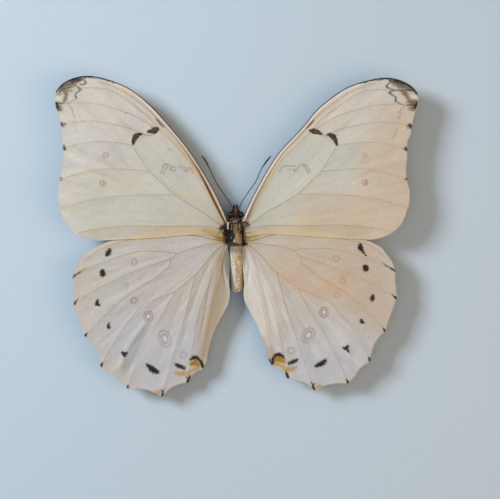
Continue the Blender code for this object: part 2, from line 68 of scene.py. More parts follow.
FOREWING_COSTA = [
    (3.0, 4.4), (4.7, 8.6), (8.3, 15.8), (14.7, 26.1), (21.1, 34.1), (27.5, 41.1), (33.9, 46.2),
    (40.3, 49.0), (46.7, 50.4), (51.5, 49.8), (55.2, 48.0), (57.3, 45.6),
]
FOREWING_OUTER_MARGIN = [
    (57.3, 45.6), (57.7, 42.6), (57.0, 39.4), (56.0, 36.0), (55.4, 31.7), (55.1, 28.2), (55.4, 22.1),
    (56.1, 17.2), (56.8, 13.4), (56.6, 9.8), (55.6, 6.6), (54.1, 3.2), (51.4, 0.3), (48.0, -1.3),
    (43.4, -2.1),
]
FOREWING_HIND_MARGIN = [
    (43.4, -2.1), (37.1, -1.8), (27.5, -1.3), (17.9, -0.5), (11.5, -0.2), (7.5, -0.6), (5.0, -0.8),
    (3.1, -0.2),
]
FOREWING_VEINS = {
    "costal": [
        (3.8, 4.5), (6.7, 10.1), (9.9, 16.8), (13.5, 22.5), (17.2, 28.0), (22.6, 34.4), (28.3, 39.8),
        (33.9, 44.2), (39.7, 47.3), (44.3, 48.8),
    ],
    "radial": [
        (5.5, 6.8), (9.4, 14.5), (14.2, 22.2), (20.4, 29.3), (25.6, 34.4), (28.3, 37.6), (32.9, 41.2),
        (37.1, 44.3), (42.0, 46.4), (49.9, 46.6), (56.4, 45.4),
    ],
    "first_median": [(26.2, 34.0), (30.8, 36.9), (37.1, 39.6), (43.5, 41.4), (49.9, 42.0), (57.2, 41.6)],
    "second_median": [(29.2, 31.6), (33.9, 33.7), (40.3, 35.2), (46.6, 36.1), (53.1, 35.5), (55.5, 34.9)],
    "third_median": [(33.4, 28.3), (37.1, 29.0), (43.5, 29.5), (49.9, 28.8), (54.8, 27.2)],
    "first_cubital": [(27.7, 20.0), (33.9, 20.6), (40.3, 20.8), (46.6, 20.1), (53.1, 18.4), (55.7, 17.4)],
    "second_cubital": [(19.6, 12.6), (27.5, 12.5), (37.1, 12.2), (43.5, 11.4), (49.9, 10.1), (55.7, 8.2)],
    "cell_rear": [
        (6.2, 3.7), (10.6, 6.9), (14.7, 9.4), (19.6, 12.6), (24.3, 16.9), (27.7, 20.0), (30.7, 24.3),
        (33.4, 28.3),
    ],
    "cell_end": [(26.2, 34.0), (29.2, 31.6), (33.4, 28.3)],
    "anal": [(5.4, 1.8), (11.5, 2.6), (24.3, 2.4), (33.9, 2.6), (43.5, 1.8), (50.4, 0.4)],
}
HINDWING_LEADING_EDGE = [
    (3.2, -1.0), (5.4, -0.6), (7.8, 0.4), (9.9, 1.2), (13.5, 1.9), (21.0, 2.2), (25.5, 1.8), (29.5, 0.8),
    (35.2, -1.0), (40.2, -2.2), (45.9, -4.8), (49.6, -8.1), (51.3, -11.2), (52.2, -13.8),
]
HINDWING_TIPS = [
    (52.2, -13.8), (51.8, -22.5), (48.4, -32.6), (43.3, -42.4), (34.6, -49.6), (23.8, -52.1), (15.4, -47.6),
    (10.9, -43.4),
]
HINDWING_SCALLOPS = [0.2, 0.1, 1.3, 0.45, 1.0, 1.1, 0.95]
HINDWING_INNER_MARGIN = [
    (10.9, -43.4), (9.6, -41.1), (9.1, -38.3), (8.0, -34.0), (6.2, -29.4), (3.9, -25.1), (2.5, -22.3),
    (2.0, -18.9), (2.3, -15.5), (2.1, -10.9), (2.1, -8.3), (2.7, -4.4),
]
HINDWING_VEINS = {
    "costal": [
        (5.6, -2.2), (11.5, -0.8), (20.0, -0.2), (29.5, -0.9), (37.1, -2.6), (43.5, -5.0), (48.6, -8.4),
    ],
    "stem": [(4.2, -2.9), (6.7, -3.0), (11.5, -3.9), (19.0, -6.2)],
    "radial": [
        (19.0, -6.2), (24.3, -5.6), (30.7, -5.5), (37.1, -7.1), (43.5, -9.4), (49.3, -11.9), (51.9, -13.6),
    ],
    "first_median": [
        (19.0, -6.2), (21.1, -8.0), (27.5, -10.0), (33.9, -12.5), (40.3, -15.4), (46.7, -18.8), (51.4, -22.1),
    ],
    "second_median": [
        (21.1, -8.0), (21.5, -10.2), (25.9, -14.1), (30.7, -17.1), (37.1, -21.4), (42.5, -26.4),
        (48.0, -32.1),
    ],
    "cell_rear": [(4.2, -3.6), (6.9, -5.6), (11.5, -11.4), (14.7, -14.4), (19.7, -18.6)],
    "third_median": [
        (19.7, -18.6), (26.3, -21.1), (30.7, -23.5), (35.5, -29.1), (39.8, -35.8), (43.0, -41.9),
    ],
    "first_cubital": [(19.7, -18.6), (24.2, -26.9), (29.1, -34.9), (32.0, -41.1), (34.4, -49.1)],
    "second_cubital": [
        (13.2, -13.2), (14.1, -17.3), (16.4, -26.4), (19.5, -36.5), (21.7, -44.3), (23.6, -51.6),
    ],
    "second_anal": [(4.6, -5.2), (8.4, -15.5), (11.5, -23.7), (13.5, -33.1), (14.9, -41.5), (15.3, -47.1)],
    "third_anal": [
        (3.6, -5.4), (4.4, -10.0), (5.6, -15.5), (7.4, -21.1), (9.6, -31.9), (10.9, -39.2), (11.0, -42.9),
    ],
}
FOREWING_LANDMARKS = [
    ((3.0, 4.4), (2.2, 4.6)), ((3.1, -0.2), (2.3, -0.2)), ((11.9, 22.0), (11.0, 22.0)),
    ((21.8, 34.9), (22.1, 34.9)), ((33.9, 46.2), (33.8, 45.7)), ((47.2, 50.4), (47.6, 49.8)),
    ((57.3, 45.6), (57.9, 44.9)), ((57.6, 41.6), (57.7, 41.0)), ((55.5, 34.7), (55.8, 34.4)),
    ((55.1, 27.5), (54.5, 27.2)), ((56.0, 17.8), (54.5, 17.5)), ((56.8, 13.4), (55.3, 13.4)),
    ((55.9, 7.7), (54.6, 8.0)), ((50.9, 0.0), (49.8, 0.5)), ((43.4, -2.1), (42.6, -1.8)),
    ((27.5, -1.3), (26.9, -1.0)), ((9.0, -0.4), (7.9, -0.3)), ((33.4, 28.5), (32.3, 28.3)),
    ((26.2, 33.1), (25.3, 32.6)), ((20.2, 12.6), (20.2, 12.8)), ((42.6, 16.2), (41.4, 16.4)),
]
HINDWING_LANDMARKS = [
    ((3.2, -1.8), (2.7, -1.8)), ((2.7, -4.4), (2.3, -4.2)), ((21.0, 2.2), (20.0, 2.2)),
    ((35.2, -1.0), (34.4, -0.4)), ((45.9, -4.8), (45.7, -3.8)), ((49.6, -8.1), (48.8, -7.2)),
    ((52.2, -13.8), (51.0, -11.9)), ((51.8, -22.5), (51.3, -20.7)), ((48.4, -32.6), (47.7, -31.1)),
    ((43.3, -42.4), (42.9, -40.7)), ((34.6, -49.6), (35.8, -47.9)), ((23.8, -52.1), (25.2, -50.2)),
    ((15.4, -47.6), (16.4, -46.2)), ((10.9, -43.4), (11.5, -42.3)), ((9.5, -41.0), (10.3, -40.1)),
    ((7.1, -31.7), (7.5, -31.0)), ((3.9, -25.1), (4.6, -25.2)), ((2.0, -18.9), (2.4, -18.9)),
    ((2.1, -10.9), (2.3, -10.9)), ((19.5, -6.2), (18.9, -5.1)), ((20.2, -18.9), (20.3, -17.8)),
    ((32.8, -21.0), (32.3, -19.7)), ((22.7, -33.4), (23.2, -32.3)), ((35.5, -38.1), (35.5, -36.5)),
    ((44.5, -22.1), (43.5, -20.5)),
]
LANDMARK_SOFTNESS = 2.0
LANDMARK_FALLOFF = -1.5

HINGE_OUT = 3.0  # how far out the wings hinge
SAG_BETWEEN_VEINS = 0.25
SAG_REACH = 1.5  # how far from a vein the membrane has sagged by two thirds
REAR_DROOP_REACH = 3.0  # how far in from the rear edge a wing droops
MEMBRANE_THICKNESS = 0.15

# ---- marks on each wing, as strokes of (out, ahead, half width), on that side's own plan

FOREWING_MARKS = {
    "left": {
        "spot": [
            [(30.0, 32.0, 0.2), (31.0, 31.8, 0.55), (32.0, 31.2, 0.9), (32.6, 30.2, 0.7), (32.9, 28.8, 0.3)],
            [(28.3, 32.6, 0.15), (27.2, 32.8, 0.55), (26.1, 33.1, 1.05), (25.3, 33.5, 0.7)],
        ],
        "black": [
            [(55.7, 35.2, 0.4), (55.4, 34.7, 0.35)],
            [(55.6, 35.0, 0.2), (54.4, 35.2, 0.08)],
            [(54.9, 27.9, 0.4), (54.7, 27.2, 0.35)],
            [(55.9, 17.8, 0.22), (55.8, 17.4, 0.19)],
            [(57.4, 41.9, 0.25), (57.2, 40.7, 0.4), (56.8, 39.7, 0.2)],
            [(57.4, 45.3, 0.25), (56.5, 46.7, 0.35), (55.1, 48.1, 0.4), (53.6, 49.1, 0.38),
             (51.5, 49.7, 0.36)],
            [(51.5, 49.7, 0.36), (49.5, 50.1, 0.32), (46.7, 50.4, 0.28), (43.0, 49.9, 0.2),
             (39.0, 48.6, 0.16)],
        ],
        "smudge": [
            [(53.6, 49.1, 0.3), (51.8, 49.1, 0.5), (50.3, 49.2, 0.45), (49.0, 49.3, 0.2)],
            [(56.4, 45.4, 0.16), (55.0, 46.5, 0.12), (53.1, 46.7, 0.08), (51.2, 47.4, 0.08)],
            [(49.1, 49.6, 0.1), (48.3, 49.0, 0.12), (48.0, 48.2, 0.2), (48.6, 47.8, 0.14),
             (49.9, 47.8, 0.06)],
            [(52.6, 48.6, 0.1), (51.5, 47.7, 0.1), (50.6, 46.9, 0.12), (49.6, 46.2, 0.18),
             (50.2, 45.6, 0.08)],
            [(50.2, 45.6, 0.06), (51.0, 45.1, 0.08), (51.4, 44.3, 0.06), (51.0, 43.5, 0.18)],
            [(55.7, 41.7, 0.1), (57.2, 41.8, 0.16)],
        ],
        "haze": [
            [(56.3, 46.3, 0.3), (54.8, 47.4, 0.8), (53.3, 47.8, 0.85), (51.7, 48.3, 0.45), (50.4, 48.6, 0.2)],
            [(55.3, 46.2, 0.3), (54.5, 45.3, 0.5), (54.2, 44.2, 0.35), (54.6, 43.0, 0.35), (54.9, 42.2, 0.2)],
            [(54.4, 45.9, 0.2), (53.2, 45.9, 0.2), (52.5, 45.6, -0.1)],
            [(57.2, 41.5, 0.4), (56.8, 40.5, 0.75), (56.1, 39.9, 0.45)],
            [(57.2, 44.9, 0.2), (56.4, 44.9, 0.3)],
        ],
        "faint": [
            [(51.2, 43.2, 0.1), (52.5, 42.4, 0.1), (53.8, 41.8, 0.1), (55.7, 41.7, 0.1)],
            [(53.6, 41.4, 0.06), (52.8, 40.6, 0.06), (52.3, 39.6, 0.06), (52.1, 38.4, 0.05),
             (51.4, 37.2, 0.05)],
            [(24.1, 19.3, 0.06), (23.7, 20.6, 0.1), (23.3, 21.7, 0.12), (22.7, 22.4, 0.12)],
            [(23.4, 19.3, 0.06), (22.9, 20.4, 0.08), (22.5, 21.3, 0.1)],
            [(22.7, 22.4, 0.1), (21.8, 22.2, 0.12), (20.7, 21.7, 0.1)],
            [(21.9, 21.7, 0.06), (22.3, 20.8, 0.05)],
            [(21.2, 20.9, 0.08), (20.5, 20.2, 0.08), (19.4, 20.4, 0.08), (19.2, 21.2, 0.08),
             (20.2, 21.6, 0.08)],
            [(20.2, 21.6, 0.08), (21.2, 20.9, 0.08)],
            [(18.2, 21.9, 0.08), (17.7, 20.9, 0.08)],
            [(17.4, 21.7, 0.07), (16.3, 21.3, 0.1)],
            [(16.9, 20.5, 0.08), (16.1, 19.9, 0.08), (15.2, 20.2, 0.08), (15.6, 20.9, 0.08),
             (16.9, 20.5, 0.06)],
            [(15.1, 21.3, 0.08), (14.3, 20.7, 0.1), (13.9, 19.5, 0.08)],
            [(21.8, 27.2, 0.05), (20.6, 26.9, 0.05)],
            [(29.9, 31.8, 0.05), (28.4, 31.8, 0.07), (27.2, 31.5, 0.07), (26.2, 31.8, 0.05)],
            [(52.2, 36.5, 0.0), (51.4, 34.0, -0.05), (50.6, 32.0, -0.1)],
        ],
        "brown": [
            [(25.7, 37.0, 0.1), (24.7, 36.0, 0.2), (24.2, 35.3, 0.26), (23.1, 34.1, 0.12)],
            [(35.5, 38.9, 0.04), (34.9, 38.6, 0.04)],
            [(41.25, 25.4, 0.0), (41.3, 25.0, 0.0)],
            [(42.35, 16.4, 0.06), (42.45, 15.9, 0.06)],
        ],
        "cream": [[(57.0, 44.1, 0.45), (56.6, 43.4, 0.4)]],
        "sage": [
            [(12.0, 8.0, 1.0), (24.0, 10.0, 3.0), (42.0, 9.0, 4.0)],
            [(12.0, 14.0, 1.0), (24.0, 25.0, 4.0)],
        ],
        "gold": [
            [(38.7, -2.3, 0.0), (34.0, -1.7, 0.7), (29.5, -1.0, 1.3), (21.0, 0.2, 1.6), (12.0, 0.6, 1.4),
             (7.0, 0.2, 0.6)],
            [(34.0, 3.2, -0.9), (20.0, 3.6, 0.1), (12.0, 3.4, 0.1), (7.0, 3.0, -0.8)],
            [(23.0, 16.6, -1.0), (18.0, 12.9, 0.4), (14.0, 10.2, 0.4), (9.5, 6.9, -0.9)],
        ],
        "olive": [[(13.5, 1.9, -1.2), (10.2, 1.1, 0.3), (7.4, 0.2, 0.7), (5.2, -0.6, 0.9), (3.6, -0.9, 0.6)]],
        "tawny": [
            [(3.6, 3.9, 0.2), (5.5, 8.1, 0.3), (9.1, 15.3, 0.3), (15.4, 25.6, 0.1), (21.7, 33.6, -0.4),
             (28.0, 40.6, -1.0)],
        ],
        "umber": [
            [(3.7, 3.8, 0.1), (5.8, 8.0, 0.2), (9.4, 15.3, 0.2), (12.1, 20.6, 0.05), (15.6, 25.4, -0.2),
             (21.9, 33.4, -0.9)],
        ],
    },
    "right": {
        "spot": [
            [(29.1, 31.8, 0.2), (30.1, 31.7, 0.6), (31.1, 31.1, 0.85), (31.7, 30.2, 0.65), (32.3, 28.5, 0.3)],
            [(23.7, 33.1, 0.35), (24.9, 32.9, 0.85), (26.0, 32.6, 0.7), (27.2, 32.0, 0.3)],
        ],
        "black": [
            [(55.5, 34.8, 0.42), (55.8, 34.1, 0.5)],
            [(55.6, 34.6, 0.15), (54.6, 34.4, 0.06)],
            [(55.6, 34.0, 0.15), (54.9, 33.6, 0.06)],
            [(54.2, 27.5, 0.35), (54.4, 26.9, 0.35)],
            [(54.3, 27.1, 0.15), (53.3, 27.2, 0.05)],
            [(54.5, 17.8, 0.19), (54.4, 17.4, 0.16)],
            [(57.7, 42.0, 0.3), (57.6, 41.2, 0.5), (57.1, 40.6, 0.3)],
            [(57.9, 44.4, 0.2), (57.4, 45.4, 0.32), (56.3, 46.8, 0.4), (54.6, 48.1, 0.42), (52.5, 48.9, 0.4)],
            [(52.5, 48.9, 0.4), (50.3, 49.4, 0.38), (47.6, 49.8, 0.32), (44.0, 49.3, 0.2),
             (40.0, 48.3, 0.15)],
        ],
        "smudge": [
            [(54.6, 47.9, 0.3), (52.5, 48.4, 0.4), (50.5, 48.7, 0.35), (49.0, 48.8, 0.15)],
            [(49.4, 48.4, 0.08), (48.4, 47.7, 0.12), (48.1, 47.1, 0.25), (49.0, 46.5, 0.1),
             (50.2, 46.2, 0.05)],
            [(48.9, 45.1, 0.16), (49.7, 45.6, 0.1), (50.9, 45.9, 0.08), (53.2, 45.9, 0.1), (56.2, 45.9, 0.2)],
            [(48.9, 45.1, 0.14), (49.8, 44.5, 0.08), (51.0, 43.8, 0.1), (51.2, 43.3, 0.12),
             (50.9, 42.5, 0.2)],
            [(50.9, 42.5, 0.12), (51.5, 42.1, 0.08), (52.7, 41.5, 0.04)],
            [(54.8, 41.1, 0.1), (56.4, 41.3, 0.25), (57.6, 41.2, 0.4)],
        ],
        "haze": [
            [(50.3, 48.0, 0.3), (52.0, 47.6, 0.75), (54.0, 47.1, 0.95), (55.6, 46.6, 0.8), (57.0, 45.7, 0.4)],
            [(52.9, 45.5, 0.25), (53.8, 45.0, 0.6), (54.6, 44.2, 0.5), (55.1, 43.2, 0.4), (55.2, 42.2, 0.4)],
            [(55.2, 42.3, 0.5), (56.3, 42.2, 0.65), (57.4, 41.9, 0.65)],
            [(55.9, 40.1, 0.45), (57.0, 40.0, 0.55)],
        ],
        "faint": [
            [(52.7, 41.5, 0.08), (54.8, 41.1, 0.08)],
            [(53.9, 41.1, 0.08), (52.9, 40.0, 0.08), (52.4, 39.2, 0.1), (52.5, 37.8, 0.07),
             (51.8, 36.9, 0.08)],
            [(13.8, 19.8, 0.08), (14.6, 21.2, 0.1), (15.7, 21.8, 0.1), (17.3, 21.8, 0.12), (18.9, 21.8, 0.1)],
            [(16.6, 20.9, 0.06), (17.6, 20.6, 0.08)],
            [(18.4, 21.2, 0.1), (18.8, 20.0, 0.1), (19.6, 20.8, 0.08), (20.5, 22.3, 0.12),
             (21.6, 22.1, 0.12)],
            [(21.6, 22.1, 0.12), (22.4, 20.9, 0.12), (23.2, 19.4, 0.1)],
            [(20.6, 22.3, 0.08), (22.2, 22.2, 0.1), (23.4, 20.9, 0.1), (23.8, 19.7, 0.08)],
            [(27.4, 31.7, 0.07), (29.0, 31.4, 0.07)],
            [(51.2, 33.6, 0.05), (50.9, 32.0, 0.05), (49.9, 30.4, 0.03)],
            [(3.7, 3.9, 0.3), (5.5, 9.6, 0.36), (7.2, 13.0, 0.3), (9.9, 17.8, 0.15), (13.0, 22.8, -0.1),
             (16.4, 26.5, -0.4)],
        ],
        "brown": [
            [(24.9, 36.4, 0.1), (23.9, 35.3, 0.24), (23.0, 34.4, 0.2), (22.4, 33.8, 0.1)],
            [(41.3, 25.3, 0.0), (41.25, 24.9, 0.0)],
            [(41.6, 16.6, 0.06), (41.55, 16.2, 0.06)],
        ],
        "cream": [[(58.0, 44.3, 0.4), (57.4, 43.7, 0.45)], [(56.2, 43.6, 0.25), (55.9, 43.9, 0.2)]],
        "sage": [
            [(12.0, 8.0, 1.0), (24.0, 10.0, 2.0)],
            [(12.0, 14.0, 1.0), (24.0, 25.0, 4.0), (34.0, 24.0, 2.0)],
        ],
        "gold": [
            [(37.0, -1.8, -0.2), (33.0, -1.3, 0.6), (28.0, -0.6, 1.1), (20.0, 0.3, 1.4), (11.0, 0.7, 1.2),
             (5.0, 0.6, 0.6)],
            [(32.0, 3.0, -0.9), (24.0, 3.5, 0.0), (14.0, 3.6, 0.1), (5.0, 3.2, -0.8)],
        ],
        "olive": [[(11.0, 1.8, -1.6), (8.0, 1.3, -0.7), (4.8, 0.6, -0.1), (3.2, 0.2, 0.2)]],
        "umber": [
            [(3.3, 4.0, -0.1), (3.75, 5.3, 0.0), (4.7, 7.6, 0.0), (5.6, 9.8, -0.1), (7.4, 13.6, -0.2),
             (10.2, 18.6, -0.36)],
        ],
        # a peach cast, partly the wing's own colour and partly painted warm light on this right side
        "peach": [
            [(54.0, 34.0, 2.0), (52.0, 22.0, 5.0), (51.0, 9.0, 6.0), (40.0, 4.0, 3.0), (26.0, 5.0, 1.0)],
        ],
    },
}
HINDWING_MARKS = {
    "left": {
        "black": [
            [(40.5, -5.2, 0.6), (40.8, -6.0, 0.8), (41.3, -6.7, 0.5)],
            [(42.8, -12.1, 0.75), (42.6, -12.8, 0.9)],
            [(44.2, -21.0, 0.15), (44.5, -21.8, 0.35), (44.5, -22.5, 0.5), (43.6, -22.8, 0.2)],
            [(40.7, -28.6, 0.15), (40.8, -29.5, 0.4), (40.8, -30.0, 0.35), (40.2, -29.8, 0.1)],
            [(36.5, -37.7, 0.2), (35.8, -38.4, 0.5), (34.8, -38.1, 0.2)],
            [(35.8, -38.2, 0.4), (35.5, -39.2, 0.15)],
            [(28.5, -41.9, 0.35), (27.5, -42.9, 0.85), (26.4, -43.7, 0.95), (25.0, -44.3, 0.45)],
            [(19.4, -41.7, 0.25), (18.2, -42.4, 0.55), (16.6, -43.0, 0.4)],
            [(14.6, -40.3, 0.25), (13.7, -39.7, 0.5), (12.7, -39.6, 0.55), (11.9, -40.2, 0.35),
             (11.2, -41.0, 0.35)],
            [(11.2, -41.0, 0.35), (10.8, -41.7, 0.4), (10.7, -42.4, 0.4)],
        ],
        "tip": [
            [(52.2, -13.8, 0.26), (51.0, -12.8, 0.16), (49.3, -11.7, 0.06), (47.2, -10.2, -0.15)],
            [(50.8, -12.7, 0.08), (49.2, -12.6, -0.1)],
            [(51.8, -22.4, 0.34), (51.1, -21.4, 0.12), (50.3, -20.5, -0.1)],
            [(48.3, -32.6, 0.4), (47.6, -31.5, 0.0)],
            [(43.2, -42.2, 0.4), (42.7, -41.0, 0.0)],
            [(34.9, -49.3, 0.36), (34.5, -48.3, 0.0)],
            [(23.7, -52.2, 0.4), (23.5, -50.9, 0.2), (23.4, -50.2, 0.1), (22.6, -49.4, -0.1)],
            [(23.5, -50.6, 0.2), (24.3, -49.9, 0.0), (24.8, -49.5, -0.15)],
            [(15.4, -47.4, 0.5), (15.1, -46.4, 0.45), (14.9, -45.4, 0.05)],
            [(15.0, -46.5, 0.35), (16.2, -45.9, 0.0)],
            [(10.6, -42.9, 0.32), (11.2, -41.0, 0.16)],
        ],
        "amber": [
            [(14.3, -41.8, 0.4), (13.0, -41.3, 0.85), (11.9, -42.0, 0.5)],
        ],
        "ochre": [
            [(25.9, -51.0, 0.2), (24.6, -50.8, 0.3)],
            [(19.2, -44.7, 0.1), (17.8, -45.0, 0.45), (16.2, -44.7, 0.5)],
            [(15.7, -45.2, 0.1), (14.5, -43.9, 0.1), (12.3, -43.1, 0.2)],
        ],
        "olive": [[(8.5, 0.3, 0.0), (6.4, -0.8, 0.6), (4.6, -1.8, 0.6), (3.4, -2.4, 0.4)]],
        "tan": [[(5.0, -8.0, 0.2), (5.6, -20.0, 1.6), (8.6, -31.0, 1.4), (10.6, -38.5, 0.8)]],
        "shade": [[(3.0, -5.0, 0.3), (2.8, -8.0, 0.9), (2.8, -11.0, 0.6), (2.6, -15.0, -0.3)]],
        # painted shadow beside the fold that runs out from the large ring
        "dusk": [[(28.4, -29.5, -0.6), (30.6, -33.5, 0.5), (33.3, -38.5, 0.8), (35.8, -43.5, 0.2)]],
        "grey": [[(32.0, -34.0, 3.0), (24.0, -43.0, 4.0), (16.0, -36.0, 1.0)]],
    },
    "right": {
        "black": [
            [(39.8, -3.5, 0.55), (39.8, -4.4, 0.85), (40.3, -5.2, 0.5), (41.0, -6.3, 0.15),
             (41.6, -7.0, 0.05)],
            [(41.4, -10.6, 0.85), (41.6, -11.2, 0.85)],
            [(43.7, -19.4, 0.2), (43.7, -20.4, 0.6), (43.5, -21.3, 0.35)],
            [(43.8, -20.5, 0.2), (42.8, -20.7, 0.1)],
            [(40.1, -27.3, 0.15), (40.2, -27.9, 0.42), (40.1, -28.4, 0.3)],
            [(40.3, -28.2, 0.2), (41.0, -28.3, 0.05)],
            [(34.3, -36.3, 0.15), (35.2, -36.6, 0.6), (35.9, -35.8, 0.2)],
            [(35.4, -36.7, 0.35), (35.9, -37.6, 0.2)],
            [(25.4, -42.4, 0.3), (26.6, -41.9, 0.6), (27.7, -41.4, 0.85), (28.6, -40.6, 0.5)],
            [(16.9, -41.5, 0.3), (18.2, -41.0, 0.55), (19.6, -40.3, 0.3)],
            [(15.4, -39.8, 0.15), (14.8, -39.0, 0.4), (13.8, -38.6, 0.55), (12.7, -38.9, 0.45),
             (12.1, -39.6, 0.3)],
            [(12.0, -39.7, 0.3), (11.7, -40.6, 0.42), (11.8, -41.4, 0.35)],
        ],
        "tip": [
            [(50.9, -11.8, 0.24), (49.0, -10.7, 0.08), (47.0, -9.3, -0.02), (45.0, -8.1, -0.2)],
            [(48.6, -10.6, 0.08), (47.4, -10.3, -0.1)],
            [(51.2, -20.5, 0.36), (50.4, -19.7, 0.12), (49.4, -18.9, -0.1)],
            [(47.7, -31.0, 0.4), (47.0, -30.0, 0.0)],
            [(42.9, -40.3, 0.4), (42.4, -39.2, 0.0)],
            [(36.0, -47.7, 0.4), (35.3, -46.4, 0.0)],
            [(25.0, -50.0, 0.42), (24.6, -48.4, 0.2), (23.9, -47.2, -0.1)],
            [(24.6, -48.6, 0.2), (25.7, -47.7, -0.1)],
            [(16.6, -46.1, 0.5), (16.3, -45.0, 0.35), (16.0, -43.9, 0.0)],
            [(11.2, -41.9, 0.32), (10.7, -40.3, 0.19)],
        ],
        "amber": [
            [(12.7, -40.5, 0.5), (14.0, -40.0, 0.9), (15.1, -40.8, 0.5)],
        ],
        "ochre": [
            [(25.9, -49.0, 0.2), (26.9, -48.8, 0.25)],
            [(16.6, -43.5, 0.5), (18.0, -43.4, 0.45), (19.2, -42.9, 0.1)],
            [(16.2, -44.3, 0.1), (15.2, -42.6, 0.15), (13.2, -41.8, 0.2)],
        ],
        "tan": [[(8.2, -34.0, 0.05), (10.4, -39.5, 0.2)]],
        "olive": [[(7.6, -0.6, -0.3), (5.8, -1.4, 0.5), (4.2, -1.8, 0.6), (3.2, -1.6, 0.4)]],
        "shade": [[(2.7, -5.0, 0.1), (2.6, -8.0, 0.1), (2.7, -11.0, -0.3)]],
        # The pale inner part of the right hindwing, and a painted highlight along a ridge (the third stroke)
        "white": [
            [(3.8, -6.0, -0.4), (4.4, -10.0, 0.8), (5.2, -17.0, 1.6), (7.6, -27.0, 1.4), (9.8, -35.0, 0.4)],
            [(6.0, -9.0, -0.6), (9.6, -17.0, 0.4), (12.0, -26.0, 0.2), (13.4, -32.0, -0.6)],
            [(29.4, -27.8, -0.6), (32.4, -31.0, 0.4), (34.8, -34.6, 0.3), (35.4, -37.0, -0.6)],
            [(23.8, -34.0, -1.2), (25.4, -37.0, 0.0), (27.4, -40.0, -0.8)],
        ],
        # a peach cast, partly the wing's own colour and partly painted warm light on this right side
        "peach": [[(20.0, -8.0, 2.0), (38.0, -12.0, 5.0), (42.0, -22.0, 3.0)]],
        "rust": [[(11.5, -11.5, -1.0), (21.0, -16.5, 0.6), (27.5, -17.6, 1.3), (33.3, -18.2, 0.2)]],
        "grey": [[(34.0, -36.0, 3.0), (25.0, -42.0, 4.0)]],
    },
}
# How far each layer of marks fades past its strokes
MARK_SOFTNESS = {
    "black": 0.6, "spot": 0.4, "tip": 0.42, "smudge": 0.42, "haze": 1.0, "faint": 0.36, "brown": 0.35,
    "cream": 0.9, "amber": 0.8, "ochre": 0.9, "gold": 0.9, "rust": 3.6, "dusk": 2.2, "tan": 3.0, "shade": 0.7,
    "peach": 13.0, "grey": 12.0, "sage": 11.0, "white": 2.2, "tawny": 0.9, "olive": 0.9, "umber": 0.4,
}
# Levels of a mark's field: how far below 0 it stops outside the mark, and how far above it inside
MARK_FLOOR = 1.0
MARK_CEILING = 2.5
# Ring marks: (out, ahead, half width across, half width along, tilt in degrees, strength)
FOREWING_RINGS = {
    "left": [(41.6, 25.2, 1.05, 1.05, 0, 0.75), (42.6, 16.2, 1.15, 1.15, 0, 1.0)],
    "right": [(41.0, 25.1, 1.0, 1.0, 0, 0.65), (41.3, 16.4, 1.05, 1.05, 0, 1.0)],
}
HINDWING_RINGS = {
    "left": [
        (32.6, -8.9, 1.1, 1.4, 0, 0.6), (35.1, -16.6, 0.75, 1.3, -15, 0.5), (32.7, -21.3, 1.25, 1.25, 0, 0.9),
        (28.1, -26.4, 1.65, 1.9, 0, 1.0), (22.9, -33.6, 2.1, 3.0, -20, 0.85), (16.8, -38.8, 1.4, 1.4, 0, 0.8),
    ],
    "right": [
        (32.1, -7.8, 1.15, 1.35, 0, 0.7), (34.2, -15.0, 1.0, 1.35, -5, 0.75), (32.3, -19.6, 1.1, 1.1, 0, 0.7),
        (28.2, -25.1, 1.55, 1.9, 0, 0.95), (23.2, -32.5, 2.0, 2.8, -25, 0.85),
        (17.7, -37.5, 1.35, 1.35, 0, 0.8),
    ],
}
# Bands of colour along an edge: its field, how far in its middle lies and its half width, its strength and
# colour, and the distances from the root where it starts to fade and where it has gone
FOREWING_BANDS = [
    ("front", 1.9, 1.5, 0.55, "#c6a577", 22.0, 60.0),
    ("rear", 0.0, 2.6, 0.35, "#d2bd8e", 26.0, 50.0),
    ("rear", 0.0, 1.5, 0.5, "#a8935a", 6.0, 18.0),
    ("from_root", 0.0, 16.0, 0.45, "#a3a084", 40.0, 50.0),
    ("front", 0.5, 0.4, 0.9, "#eadcc2", 46.0, 72.0),
    ("front", 1.65, 0.25, 0.5, "#dcc29b", 26.0, 52.0),
    ("front", 1.15, 0.2, 0.6, "#96744c", 30.0, 62.0),
    ("front", 0.0, 0.24, 0.95, "#16120d", 80.0, 90.0),
]
HINDWING_BANDS = [
    ("front", 0.0, 4.0, 0.35, "#cdb994", 30.0, 60.0),
    ("from_root", 0.0, 9.0, 0.45, "#9c8e66", 20.0, 30.0),
    ("outer", 0.0, 0.9, 0.5, "#d3bb95", 70.0, 90.0),
    ("rear", 0.2, 0.5, 0.5, "#d6c6a6", 50.0, 60.0),
]
BAND_RAGGEDNESS = 0.3  # share of a band's half width
